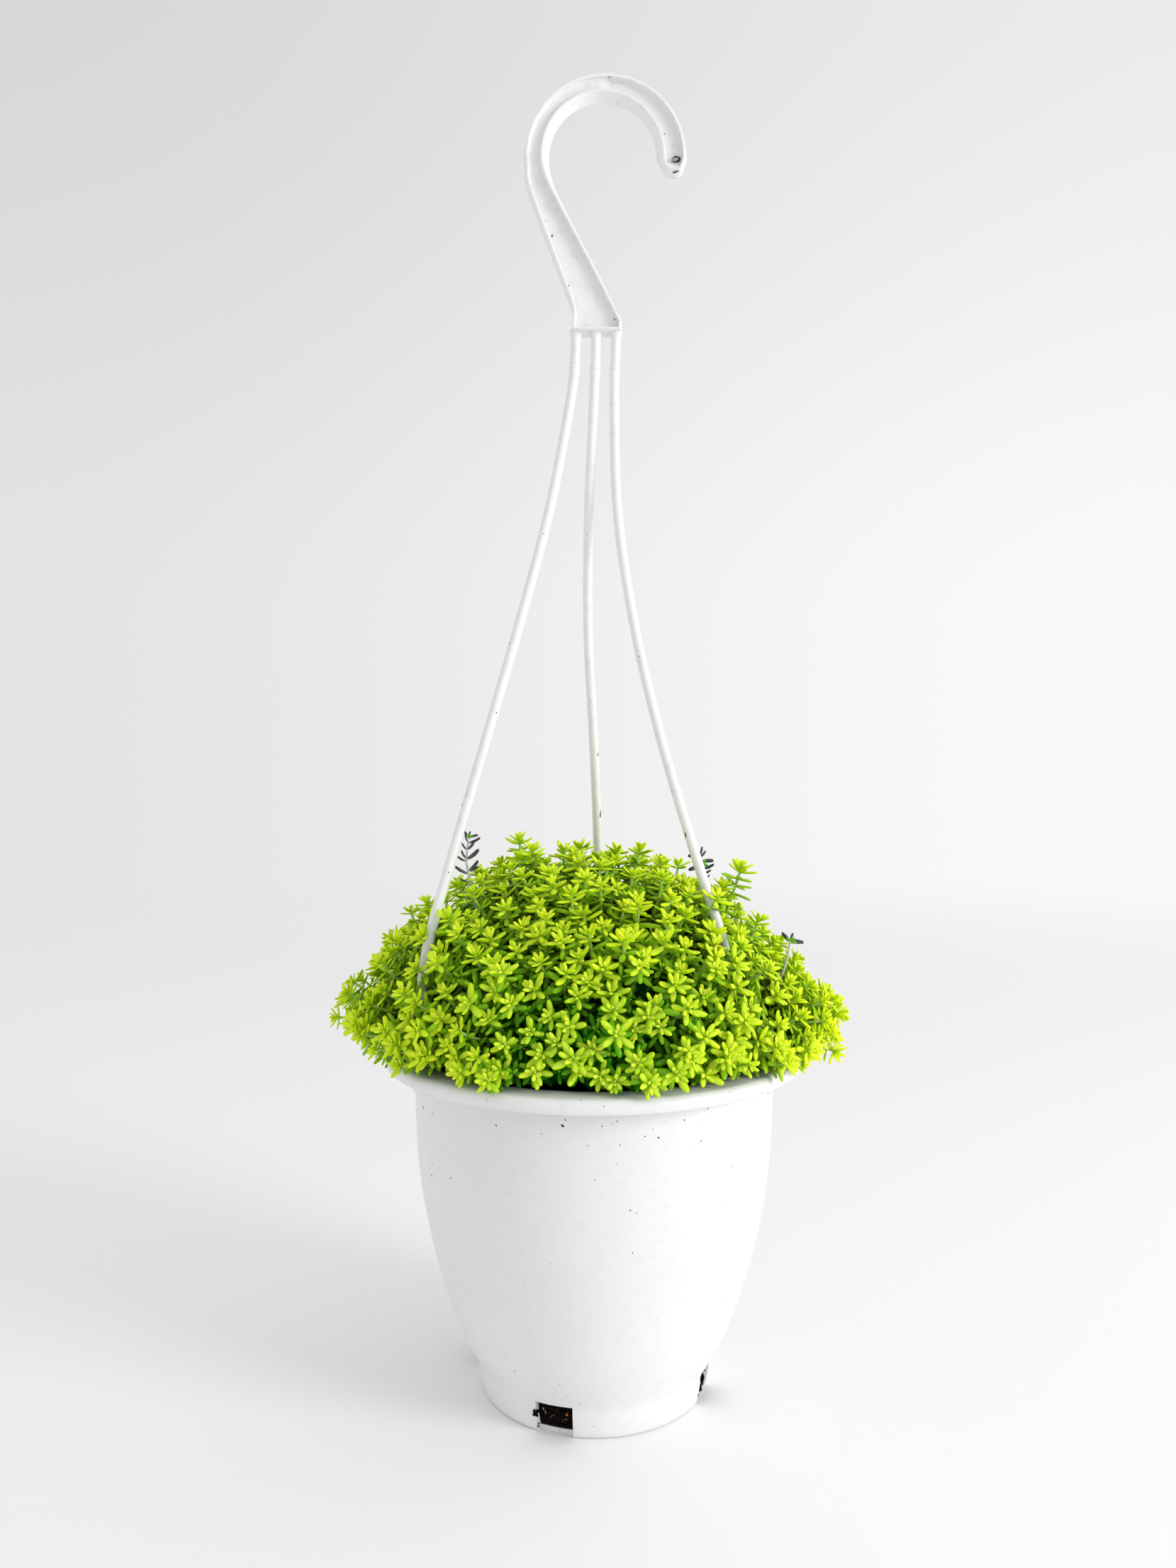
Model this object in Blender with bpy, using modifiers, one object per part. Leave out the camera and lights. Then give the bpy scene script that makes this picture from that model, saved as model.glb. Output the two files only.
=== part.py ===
"""A low golden stonecrop in a white hanging pot, standing on the pot's foot.

Frame: +Z up, the origin at the centre of the foot on the surface, the front towards -Y and the
right-hand side towards +X. Lengths are named in millimetres and turned into metres by MM.
"""

import math
import random

import bmesh
import bpy
from mathutils import Matrix, Vector

MM = 0.001
GAP = 0.3  # clearance between pieces that touch on the real object
SEED = 23
WELD = 0.002  # points closer than this are one point

# Pot, as radius and height. The body's outside is a smooth curve through BODY_OUTSIDE.
FOOT_BOTTOM_R = 54.1
FOOT_MIDDLE = (56.0, 10.1)
FOOT_TOP = (56.2, 13.6)
BODY_OUTSIDE = [(57.8, 17.2), (65.4, 31.9), (73.0, 53.4), (80.1, 81.7), (84.4, 109.5), (85.9, 136.8)]
NECK_R = 86.0
WALL = 2.0
FOOT_WALL = 2.7
FLOOR = 2.0
LIP_R = 100.0
LIP_TOP = 164.5
LIP_THICK = 2.0
SKIRT_BOTTOM = 158.5
SKIRT_WALL = 1.8
LIP_ROUND = 0.7
POT_STEPS = 40

# Drain windows in the foot, a quarter turn apart.
WINDOW_FIRST = -20.0
WINDOW_WIDTH = 15.5
WINDOW_TOP = 13.0
LEDGE_TOP = 1.75
LEDGE_R = 51.2

# Soil, which fills the pot to just under the lip, and the root ball that stands in it.
SOIL_TOP = 164.2
SOIL_STEPS = 20
ROOT_TOP_R = 38.0
ROOT_BOTTOM_R = 30.0
ROOT_DEPTH = 42.0
ROOT_NECK_R = 34.0
ROOT_NECK_HALF = 8.0

# Hanger. Its hook is drawn in the XZ plane and is HOOK_DEPTH thick along Y.
HOOK_DEPTH = 12.0
HOOK_OUTER = ((5.35, 588.0), 38.0, 38.0)
HOOK_INNER = ((4.1, 588.0), 28.1, 29.5)
HOOK_ARC_END = 189.0
HOOK_ARC_STEPS = 22
# Edges are an outer point, an inner point, the share of the depth and the share of the swelling.
TIP_EDGES = [
    ((39.4, 582.4), (37.6, 582.4), 0.45, 0.1),
    ((41.3, 583.2), (35.2, 583.0), 0.8, 0.2),
    ((42.8, 585.4), (33.0, 585.2), 1.0, 0.5),
]
SHANK_EDGES = [
    ((-31.4, 573.9), (-19.8, 573.2), 1.0, 0.8),
    ((-21.8, 547.3), (-6.1, 547.3), 1.0, 0.6),
    ((-14.1, 527.3), (4.4, 527.3), 1.0, 0.5),
    ((-10.4, 516.7), (10.0, 516.0), 1.0, 0.3),
    ((-10.4, 510.0), (13.1, 510.0), 1.0, 0.1),
    ((-10.4, 506.0), (12.9, 506.0), 1.0, 0.1),
]
OUTER_BULGE = 1.0
INNER_BULGE = 2.4
RIB = 1.3
POCKET = 3.2
POCKET_END = ((-10.4, 507.3), (12.9, 507.3), 1.0, 0.0)

# Arms, as (x, y, z) of their middles from the yoke down. Each ends on a peg through the lip.
ARM_R = 2.35
COLLAR_R = 2.65
COLLAR_TALL = 2.0
JOINT_Z = 489.0
YOKE_INSIDE_Z = 508.5
PEG_CIRCLE = 90.5
PEG_R = 2.0
NIB_R = 3.0
NIB_BOTTOM = 152.5
FOOT_BLOCK = (8.0, 6.0, 4.0)
ARM_STEPS = 2
ARMS = {
    "arm_left": (
        -60.9,
        [
            (-8.7, 0.0, 508.0),
            (-8.9, 0.0, 499.0),
            (-11.1, -1.3, 475.0),
            (-21.3, -7.5, 420.0),
            (-35.2, -15.9, 365.0),
            (-49.8, -24.7, 312.0),
            (-64.2, -33.4, 260.0),
            (-74.4, -39.6, 221.5),
            (-77.6, -42.6, 200.0),
            (-78.9, -43.9, 183.0),
        ],
    ),
    "arm_right": (
        59.1,
        [
            (10.4, 0.0, 508.0),
            (10.4, 0.0, 499.0),
            (9.7, 0.5, 476.0),
            (11.3, -0.6, 421.0),
            (19.1, -6.3, 366.0),
            (31.3, -15.1, 312.0),
            (46.2, -25.8, 259.5),
            (59.6, -35.5, 217.0),
            (70.5, -42.0, 187.0),
        ],
    ),
    "arm_back": (
        179.1,
        [
            (0.8, 0.0, 508.0),
            (0.8, 0.0, 499.0),
            (-0.1, 1.5, 475.0),
            (-2.6, 7.8, 420.0),
            (-2.9, 20.7, 366.0),
            (-0.1, 36.8, 312.0),
            (2.0, 54.3, 260.0),
            (2.0, 68.6, 219.0),
            (1.7, 81.0, 187.0),
        ],
    ),
}

# Cushion of shoots: a leafy dome round DOME_AT, flatter on its right-hand flank, on a smaller core.
DOME_AT = (0.0, 0.0, 172.0)
DOME_AXES = (113.0, 95.0, 82.5)
DOME_LOW = -0.2
DENT_AT = (86.0, -15.0, 48.0)
DENT_WIDTH = 30.0
DENT_SHARE = 0.14
CORE_AT_Z = 166.0
CORE_AXES = (84.0, 78.0, 66.0)
CORE_DIMPLE = 6.0
ROOT_SHARE = 0.6
ROSETTES = 80
ROSETTE_R = 14.6
ROSETTE_LIFT = 0.34
BLADE = 1.0
STEM_R = 1.3
LEAF_HALF_ANGLE = 16.0
NOTCH_SHARE = 0.26
SHOULDER_SHARE = 0.94
CUP_POWER = 1.6
WHORL = 5
SIZE_SPREAD = (0.88, 1.1)
TURN_JITTER = 4.0
LEAN = 0.16
REACH_FOR_LIGHT = 0.3
LIP_CLEAR = 3.0
STEM_CLEAR = 7.5
HANG_R = 106.0
ARM_CLEAR = 1.0
RODS_TOP = 300.0
CLEAR_TRIES = 14
CLEAR_STEP = 1.6
CLEAR_SHRINK = 0.97
# Shoots that stand above the dome: where the tip is, its size and how many whorls it carries.
TALL_SHOOTS = [((-36.0, 4.0, 265.0), 9.0, 2), ((69.0, -20.0, 247.0), 8.5, 3), ((91.0, -24.0, 218.0), 8.0, 1)]
TALL_SPACING = 0.14
TALL_TWIST = 40.0

# Dark shoots behind the two front arms: tip, lowest leaves, and root inside the cushion's core.
DARK_STEM_R = 0.8
DARK_LEAF = 7.0
DARK_SHOOTS = {
    "dark_shoot_left": ((-58.5, -22.0, 266.0), (-58.0, -21.0, 246.0), (-48.0, -17.0, 196.0), 6),
    "dark_shoot_right": ((48.5, -12.0, 258.5), (51.5, -11.0, 243.0), (43.0, -9.0, 200.0), 6),
}


def metres(*values):
    return Vector(values) * MM


def facing(degrees, radius, z):
    """The point at an angle from the front, positive to the right, in millimetres."""
    angle = math.radians(degrees)
    return Vector((radius * math.sin(angle), -radius * math.cos(angle), z))


def smooth_curve(points, steps):
    """Points along a Catmull-Rom curve through the given ones, with `steps` to each stretch."""
    knots = [Vector(p) for p in points]
    ends = [2 * knots[0] - knots[1], *knots, 2 * knots[-1] - knots[-2]]
    curve = []
    for before, start, end, after in zip(ends, ends[1:], ends[2:], ends[3:]):
        for step in range(steps):
            t = step / steps
            bend = (2 * before - 5 * start + 4 * end - after) * t * t
            twist = (3 * start - before - 3 * end + after) * t**3
            curve.append((2 * start + (end - before) * t + bend + twist) / 2)
    curve.append(knots[-1])
    return curve


def clear_scene():
    for obj in list(bpy.data.objects):
        bpy.data.objects.remove(obj, do_unlink=True)


def new_collection(name, inside=None):
    """A collection for parts, or for helpers where it lies inside the cutters' own."""
    collection = bpy.data.collections.new(name)
    collection.hide_render = inside is not None
    (inside or bpy.context.scene.collection).children.link(collection)
    return collection


def new_material(name, hex_colour, roughness):
    channels = [int(hex_colour[i : i + 2], 16) / 255 for i in (1, 3, 5)]
    linear = [c / 12.92 if c <= 0.04045 else ((c + 0.055) / 1.055) ** 2.4 for c in channels]
    material = bpy.data.materials.new(name)
    material.use_nodes = True
    shader = material.node_tree.nodes["Principled BSDF"]
    shader.inputs["Base Color"].default_value = (*linear, 1.0)
    shader.inputs["Roughness"].default_value = roughness
    shader.inputs["Metallic"].default_value = 0.0
    material.diffuse_color = (*linear, 1.0)
    return material


def place(name, mesh, collection, material=None):
    obj = bpy.data.objects.new(name, mesh)
    collection.objects.link(obj)
    if material:
        mesh.materials.clear()
        mesh.materials.append(material)
    return obj


def make_helper(obj):
    obj.hide_render = True
    obj.display_type = "WIRE"


def from_bmesh(name, bm, collection, material=None):
    bmesh.ops.recalc_face_normals(bm, faces=bm.faces)
    mesh = bpy.data.meshes.new(name)
    bm.to_mesh(mesh)
    bm.free()
    return place(name, mesh, collection, material)


def apply_modifiers(obj):
    """Swaps the object's mesh for its evaluated one, and drops the modifiers."""
    bpy.context.view_layer.update()
    evaluated = obj.evaluated_get(bpy.context.evaluated_depsgraph_get())
    mesh = bpy.data.meshes.new_from_object(evaluated)
    obj.modifiers.clear()
    obj.data = mesh


def add_boolean(obj, operation, other, solver="EXACT"):
    modifier = obj.modifiers.new(operation.lower(), "BOOLEAN")
    modifier.operation = operation
    modifier.solver = solver
    if isinstance(other, bpy.types.Collection):
        modifier.operand_type = "COLLECTION"
        modifier.collection = other
    else:
        modifier.object = other


def keep_main_body(obj):
    """Drops loose scraps, and sealed hollows with them, so that one closed body is left."""
    bm = bmesh.new()
    bm.from_mesh(obj.data)
    bmesh.ops.remove_doubles(bm, verts=bm.verts, dist=WELD * MM)
    bmesh.ops.dissolve_degenerate(bm, edges=bm.edges, dist=WELD * MM)
    bmesh.ops.triangulate(bm, faces=bm.faces)
    left = set(bm.faces)
    bodies = []
    while left:
        body = {left.pop()}
        edge_of_body = list(body)
        while edge_of_body:
            face = edge_of_body.pop()
            for edge in face.edges:
                for other in edge.link_faces:
                    if other in left:
                        left.remove(other)
                        body.add(other)
                        edge_of_body.append(other)
        bodies.append(body)
    bodies.sort(key=len)
    scraps = [face for body in bodies[:-1] for face in body]
    bmesh.ops.delete(bm, geom=scraps, context="FACES")
    bm.to_mesh(obj.data)
    bm.free()


def fuse(obj, pieces, solver="EXACT"):
    """Joins every object of the collection `pieces` to obj, and removes them."""
    add_boolean(obj, "UNION", pieces, solver)
    apply_modifiers(obj)
    for piece in list(pieces.objects):
        bpy.data.objects.remove(piece, do_unlink=True)
    bpy.data.collections.remove(pieces)
    keep_main_body(obj)


def turned(name, profile, steps, collection, material=None):
    """A profile of (radius, height) pairs, from the axis or as a loop, turned about Z."""
    mesh = bpy.data.meshes.new(name)
    points = [metres(r, 0.0, z) for r, z in profile]
    closed = profile[0][0] > 0.0
    edges = [(i, i + 1) for i in range(len(points) - 1)]
    if closed:
        edges.append((len(points) - 1, 0))
    mesh.from_pydata(points, edges, [])
    obj = place(name, mesh, collection, material)
    screw = obj.modifiers.new("turn", "SCREW")
    screw.steps = steps
    screw.render_steps = steps
    screw.use_merge_vertices = True
    screw.merge_threshold = WELD * MM
    screw.use_smooth_shade = False
    return obj


def cylinder(name, radius_top, radius_bottom, top, bottom, at, sides, collection):
    bm = bmesh.new()
    bmesh.ops.create_cone(
        bm,
        cap_ends=True,
        segments=sides,
        radius1=radius_bottom * MM,
        radius2=radius_top * MM,
        depth=(top - bottom) * MM,
        matrix=Matrix.Translation(metres(at[0], at[1], (top + bottom) / 2)),
    )
    return from_bmesh(name, bm, collection)


def box(name, size, middle, collection, turn=0.0):
    bm = bmesh.new()
    bmesh.ops.create_cube(bm, size=1.0)
    bmesh.ops.scale(bm, vec=metres(*size), verts=bm.verts)
    spin = Matrix.Rotation(math.radians(turn), 4, "Z")
    bmesh.ops.transform(bm, matrix=Matrix.Translation(metres(*middle)) @ spin, verts=bm.verts)
    return from_bmesh(name, bm, collection)


def tube(name, points, radius, resolution, collection):
    """A round rod along points in millimetres, as a closed mesh."""
    curve = bpy.data.curves.new(name, "CURVE")
    curve.dimensions = "3D"
    curve.bevel_depth = radius * MM
    curve.bevel_resolution = resolution
    curve.use_fill_caps = True
    spline = curve.splines.new("POLY")
    spline.points.add(len(points) - 1)
    for knot, point in zip(spline.points, points):
        knot.co = (*metres(*point), 1.0)
    rod = bpy.data.objects.new(name + "_path", curve)
    collection.objects.link(rod)
    bpy.context.view_layer.update()
    evaluated = rod.evaluated_get(bpy.context.evaluated_depsgraph_get())
    mesh = bpy.data.meshes.new_from_object(evaluated)
    obj = place(name, mesh, collection)
    obj.matrix_world = rod.matrix_world
    bpy.data.objects.remove(rod, do_unlink=True)
    bm = bmesh.new()
    bm.from_mesh(mesh)
    bmesh.ops.remove_doubles(bm, verts=bm.verts, dist=WELD * MM)
    bmesh.ops.recalc_face_normals(bm, faces=bm.faces)
    bm.to_mesh(mesh)
    bm.free()
    return obj


def body_radius_points(inset):
    """The body's curve from foot to neck, moved inwards by inset."""
    curve = smooth_curve([(r, z, 0.0) for r, z in [*BODY_OUTSIDE, (NECK_R, LIP_TOP - LIP_THICK)]], 2)
    return [(p.x - inset, p.y) for p in curve]


def pot_profile():
    inside = body_radius_points(WALL)[:-1:2]
    outside = body_radius_points(0.0)[::-1]
    foot_inside = FOOT_BOTTOM_R - FOOT_WALL
    return [
        (0.0, FLOOR),
        (foot_inside, FLOOR),
        (FOOT_TOP[0] - FOOT_WALL, FOOT_TOP[1]),
        *inside,
        (NECK_R - WALL, LIP_TOP - LIP_ROUND),
        (NECK_R - WALL + LIP_ROUND, LIP_TOP),
        (LIP_R - LIP_ROUND, LIP_TOP),
        (LIP_R, LIP_TOP - LIP_ROUND),
        (LIP_R, SKIRT_BOTTOM),
        (LIP_R - SKIRT_WALL, SKIRT_BOTTOM),
        (LIP_R - SKIRT_WALL, LIP_TOP - LIP_THICK),
        *outside,
        FOOT_TOP,
        FOOT_MIDDLE,
        (FOOT_BOTTOM_R, 0.0),
        (0.0, 0.0),
    ]


def window_cutter(name, angle, collection):
    """An L in side view: the window through the foot's wall, and the notch before the floor's edge."""
    inner = LEDGE_R - 2.0
    outer = FOOT_TOP[0] + 6.0
    side = [
        (inner, LEDGE_TOP),
        (LEDGE_R, LEDGE_TOP),
        (LEDGE_R, -2.0),
        (outer, -2.0),
        (outer, WINDOW_TOP),
        (inner, WINDOW_TOP),
    ]
    along = facing(angle + 90.0, WINDOW_WIDTH / 2, 0.0)
    rings = [[facing(angle, r, z) + sign * along for r, z in side] for sign in (-1, 1)]
    return loft(name, rings, collection)


def build_pot(parts, cutters, white):
    pot = turned("pot", pot_profile(), POT_STEPS, parts, white)
    openings = new_collection("pot_openings", cutters)
    for quarter in range(4):
        make_helper(window_cutter(f"window_{quarter}", WINDOW_FIRST + 90.0 * quarter, openings))
    under, over = LIP_TOP - LIP_THICK - 2.0, LIP_TOP + 2.0
    for name, (angle, _) in ARMS.items():
        at = facing(angle, PEG_CIRCLE, 0.0)
        make_helper(cylinder(name + "_hole", PEG_R + GAP, PEG_R + GAP, over, under, at, 12, openings))
    add_boolean(pot, "DIFFERENCE", openings)


def build_soil(parts, brown):
    room = 1.5 * GAP
    inside = body_radius_points(WALL + room)[:-1:2]
    profile = [
        (0.0, SOIL_TOP - ROOT_DEPTH - GAP),
        (ROOT_BOTTOM_R + GAP, SOIL_TOP - ROOT_DEPTH - GAP),
        (ROOT_TOP_R + GAP, SOIL_TOP),
        (NECK_R - WALL - room, SOIL_TOP),
        *inside[::-1],
        (FOOT_TOP[0] - FOOT_WALL - room, FOOT_TOP[1]),
        (FOOT_BOTTOM_R - FOOT_WALL - room, FLOOR + GAP),
        (0.0, FLOOR + GAP),
    ]
    turned("soil", profile, SOIL_STEPS, parts, brown)


def arc_point(ellipse, degrees):
    (x, z), across, up = ellipse
    angle = math.radians(degrees)
    return (x + across * math.cos(angle), z + up * math.sin(angle))


def hook_edges():
    """The hook's edges, from its tip to the foot of the yoke."""
    angles = [HOOK_ARC_END * i / HOOK_ARC_STEPS for i in range(HOOK_ARC_STEPS + 1)]
    arc = [(arc_point(HOOK_OUTER, a), arc_point(HOOK_INNER, a), 1.0, 1.0) for a in angles]
    return [*TIP_EDGES, *arc, *SHANK_EDGES]


def loft(name, rings, collection, material=None):
    """A closed skin through rings of the same number of points, with flat ends."""
    bm = bmesh.new()
    rows = [[bm.verts.new(metres(*point)) for point in ring] for ring in rings]
    count = len(rows[0])
    for first, second in zip(rows, rows[1:]):
        for i in range(count):
            bm.faces.new((first[i], first[(i + 1) % count], second[(i + 1) % count], second[i]))
    bm.faces.new(rows[0])
    bm.faces.new(rows[-1])
    return from_bmesh(name, bm, collection, material)


def hook_ring(outer, inner, depth_share, swell_share):
    """The hook's cross-section, which swells at mid-depth where the mould parts."""
    outer = Vector((outer[0], 0.0, outer[1]))
    inner = Vector((inner[0], 0.0, inner[1]))
    across = (outer - inner).normalized()
    half = Vector((0.0, depth_share * HOOK_DEPTH / 2, 0.0))
    return [
        outer - half,
        outer + across * OUTER_BULGE * swell_share,
        outer + half,
        inner + half,
        inner - across * INNER_BULGE * swell_share,
        inner - half,
    ]


def pocket_ring(outer, inner, side):
    """The hollow between the two ribs of one face, as a cutter's cross-section."""
    outer = Vector((outer[0], 0.0, outer[1]))
    inner = Vector((inner[0], 0.0, inner[1]))
    across = (outer - inner).normalized() * RIB
    floor = Vector((0.0, side * (HOOK_DEPTH / 2 - POCKET), 0.0))
    mouth = Vector((0.0, side * (HOOK_DEPTH / 2 + 3.0), 0.0))
    return [outer - across + mouth, inner + across + mouth, inner + across + floor, outer - across + floor]


def arm_route(angle, points):
    """The arm's middle line down to its peg on the lip."""
    foot = facing(angle, PEG_CIRCLE, LIP_TOP + GAP + FOOT_BLOCK[2] - 1.0)
    return smooth_curve([*points, foot], ARM_STEPS)


def split_route(route, low, high):
    """The stretch of a falling line between two heights."""
    kept = []
    for start, end in zip(route, route[1:]):
        for limit in (high, low):
            if start.z > limit > end.z:
                kept.append(start.lerp(end, (start.z - limit) / (start.z - end.z)))
        if low < end.z < high:
            kept.append(end)
    if low < route[0].z < high:
        kept.insert(0, route[0])
    return kept


def collar(name, route, low, high, collection):
    stretch = split_route(route, low, high)
    return tube(name, [stretch[0], stretch[-1]], COLLAR_R, 2, collection)


def build_hanger(parts, cutters, white):
    edges = hook_edges()
    hanger = loft("hanger_hook", [hook_ring(*edge) for edge in edges], parts, white)
    pieces = new_collection("hanger_pieces")
    for name, (angle, points) in ARMS.items():
        route = arm_route(angle, points)
        socket = split_route(route, JOINT_Z + GAP / 2, YOKE_INSIDE_Z)
        tube(name + "_socket", socket, ARM_R, 2, pieces)
        collar(name + "_socket_collar", route, JOINT_Z + GAP / 2, JOINT_Z + COLLAR_TALL, pieces)
    fuse(hanger, pieces)
    pockets = new_collection("hook_pockets", cutters)
    pocket_edges = [*edges[3:-1], POCKET_END]
    for side, face in ((-1, "front"), (1, "back")):
        rings = [pocket_ring(outer, inner, side) for outer, inner, _, _ in pocket_edges]
        make_helper(loft(f"pocket_{face}", rings, pockets))
    add_boolean(hanger, "DIFFERENCE", pockets)


def build_arms(parts, white):
    for name, (angle, points) in ARMS.items():
        route = arm_route(angle, points)
        arm = tube(name, split_route(route, 0.0, JOINT_Z - GAP / 2), ARM_R, 2, parts)
        arm.data.materials.append(white)
        pieces = new_collection(name + "_pieces")
        collar(name + "_collar", route, JOINT_Z - COLLAR_TALL, JOINT_Z - GAP / 2, pieces)
        at = facing(angle, PEG_CIRCLE, 0.0)
        bottom = LIP_TOP + GAP
        box(name + "_foot", FOOT_BLOCK, facing(angle, PEG_CIRCLE, bottom + FOOT_BLOCK[2] / 2), pieces, angle)
        nib_top = LIP_TOP - LIP_THICK - GAP
        cylinder(name + "_peg", PEG_R, PEG_R, bottom + 1.0, nib_top - 1.0, at, 12, pieces)
        cylinder(name + "_nib", NIB_R, PEG_R, nib_top, NIB_BOTTOM, at, 12, pieces)
        fuse(arm, pieces)


def rosette(name, at, up, turn, reach, leaves, root, collection):
    """One star of blunt leaves round a hollow centre, on a slender stem that runs to its root."""
    across = up.orthogonal().normalized()
    frame = Matrix((across, up.cross(across), up)).transposed()
    outline = []
    for leaf in range(leaves):
        middle = turn + 360.0 * leaf / leaves
        notch = middle - 180.0 / leaves
        outline.append((notch, NOTCH_SHARE))
        outline.append((middle - LEAF_HALF_ANGLE, SHOULDER_SHARE))
        outline.append((middle + LEAF_HALF_ANGLE, 1.0))

    def point(degrees, share, drop):
        angle = math.radians(degrees)
        radius = share * reach
        height = ROSETTE_LIFT * reach * share**CUP_POWER - drop
        return at + frame @ Vector((radius * math.cos(angle), radius * math.sin(angle), height))

    bm = bmesh.new()
    top = [bm.verts.new(point(a, r, 0.0) * MM) for a, r in outline]
    under = [bm.verts.new(point(a, r, BLADE) * MM) for a, r in outline]
    centre = bm.verts.new(at * MM)
    neck = []
    base = []
    along = (root - at).normalized()
    for angle, _ in outline[::3]:
        spoke = frame @ Vector((math.cos(math.radians(angle)), math.sin(math.radians(angle)), 0.0))
        neck.append(bm.verts.new((at + spoke * STEM_R * 1.3 - up * BLADE * 1.6) * MM))
        level = (spoke - along * spoke.dot(along)).normalized()
        base.append(bm.verts.new((root + level * STEM_R) * MM))
    count = len(outline)
    for i in range(count):
        after = (i + 1) % count
        bm.faces.new((centre, top[i], top[after]))
        bm.faces.new((top[i], under[i], under[after]))
        bm.faces.new((top[i], under[after], top[after]))
    for leaf in range(leaves):
        after = (leaf + 1) % leaves
        left, right, end = under[3 * leaf + 1], under[3 * leaf + 2], under[3 * after]
        bm.faces.new((under[3 * leaf], neck[leaf], left))
        bm.faces.new((left, neck[leaf], neck[after]))
        bm.faces.new((left, neck[after], right))
        bm.faces.new((right, neck[after], end))
        bm.faces.new((neck[leaf], base[leaf], base[after]))
        bm.faces.new((neck[leaf], base[after], neck[after]))
    bm.faces.new(base)
    return from_bmesh(name, bm, collection)


def dome_point(direction):
    """The dome's surface along a direction given on the unit sphere, with the flatter flank."""
    local = Vector([d * axis for d, axis in zip(direction, DOME_AXES)])
    from_dent = (local - Vector(DENT_AT)).length / DENT_WIDTH
    local *= 1.0 - DENT_SHARE * math.exp(-from_dent * from_dent / 2)
    normal = Vector([d / axis for d, axis in zip(direction, DOME_AXES)]).normalized()
    return Vector(DOME_AT) + local, normal


def stem_root(tip):
    """Where a shoot's stem starts, inside the core and above the lip."""
    centre = Vector((0.0, 0.0, CORE_AT_Z))
    root = centre + (tip - centre) * ROOT_SHARE
    root.z = max(root.z, LIP_TOP + STEM_CLEAR)
    return root


def clear_lip(at, up, reach):
    """Keeps a rosette's stem above the pot's lip, and its lowest leaf too unless it hangs outside."""
    fall = reach * math.sqrt(max(0.0, 1.0 - up.z * up.z))
    clear = STEM_CLEAR if math.hypot(at.x, at.y) > HANG_R else LIP_CLEAR + fall
    return Vector((at.x, at.y, max(at.z, LIP_TOP + clear)))


def nearest_rod(at, up, reach, root, rods):
    """The first rod point that the rosette or its stem would touch, or None."""
    stem = root - at
    for point, radius in rods:
        offset = point - at
        height = offset.dot(up)
        level = (offset - up * height).length
        room = radius + ARM_CLEAR
        if level < reach + room and -BLADE * 2 - room < height < reach * ROSETTE_LIFT + room:
            return point
        share = min(1.0, max(0.0, offset.dot(stem) / stem.length_squared))
        if (offset - stem * share).length < STEM_R * 1.5 + room:
            return point
    return None


def rods_through_cushion():
    """Points along every stalk that passes among the rosettes, with its radius."""
    rods = []
    for angle, points in ARMS.values():
        route = smooth_curve([*points, facing(angle, PEG_CIRCLE, LIP_TOP)], 8)
        rods += [(point, ARM_R) for point in route if point.z < RODS_TOP]
        block = facing(angle, PEG_CIRCLE, LIP_TOP + FOOT_BLOCK[2] / 2)
        rods.append((block, FOOT_BLOCK[0] / 2))
    for tip, low, root, _ in DARK_SHOOTS.values():
        tip, low, root = Vector(tip), Vector(low), Vector(root)
        rods += [(root.lerp(low, i / 20), DARK_STEM_R) for i in range(20)]
        rods += [(low.lerp(tip, i / 6), DARK_LEAF) for i in range(7)]
    return rods


def bend_clear(at, up, reach, root, rods):
    """Moves a rosette away from the rods it touches and shrinks it a little. It returns None with no room."""
    for _ in range(CLEAR_TRIES):
        at = clear_lip(at, up, reach)
        touched = nearest_rod(at, up, reach, root, rods)
        if touched is None:
            return at, reach
        away = at - touched
        away -= up * away.dot(up)
        at = at + away.normalized() * CLEAR_STEP
        reach *= CLEAR_SHRINK
    return None


def place_rosettes(pieces, rods):
    """Rosettes on a golden-angle spiral from the dome's top down to the lip, each bent clear of the rods."""
    draw = random.Random(SEED)
    golden = 180.0 * (3.0 - math.sqrt(5.0))
    for index in range(ROSETTES):
        height = 1.0 - (index + 0.5) / ROSETTES * (1.0 - DOME_LOW)
        ring = math.sqrt(1.0 - height * height)
        angle = math.radians(index * golden + draw.uniform(-TURN_JITTER, TURN_JITTER))
        at, normal = dome_point((ring * math.cos(angle), ring * math.sin(angle), height))
        lean = Vector([draw.uniform(-LEAN, LEAN) for _ in range(3)])
        up = (normal + Vector((0.0, 0.0, REACH_FOR_LIGHT)) + lean).normalized()
        reach = ROSETTE_R * draw.uniform(*SIZE_SPREAD)
        turn = draw.uniform(0.0, 360.0 / WHORL)
        root = stem_root(at)
        settled = bend_clear(at, up, reach, root, rods)
        if settled:
            rosette(f"rosette_{index}", settled[0], up, turn, settled[1], WHORL, root, pieces)


def place_tall_shoots(pieces, rods):
    """Shoots that rise above the dome, with whorls down their stems."""
    for number, (tip, reach, whorls) in enumerate(TALL_SHOOTS):
        tip = Vector(tip)
        root = stem_root(tip)
        up = ((tip - root).normalized() + Vector((0.0, 0.0, 1.0))).normalized()
        for whorl in range(whorls):
            at = tip.lerp(root, TALL_SPACING * whorl)
            wider = reach * (1.0 + TALL_SPACING * whorl)
            settled = bend_clear(at, up, wider, root, rods)
            if settled:
                name = f"tall_{number}_{whorl}"
                rosette(name, settled[0], up, TALL_TWIST * whorl, settled[1], WHORL, root, pieces)


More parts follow.
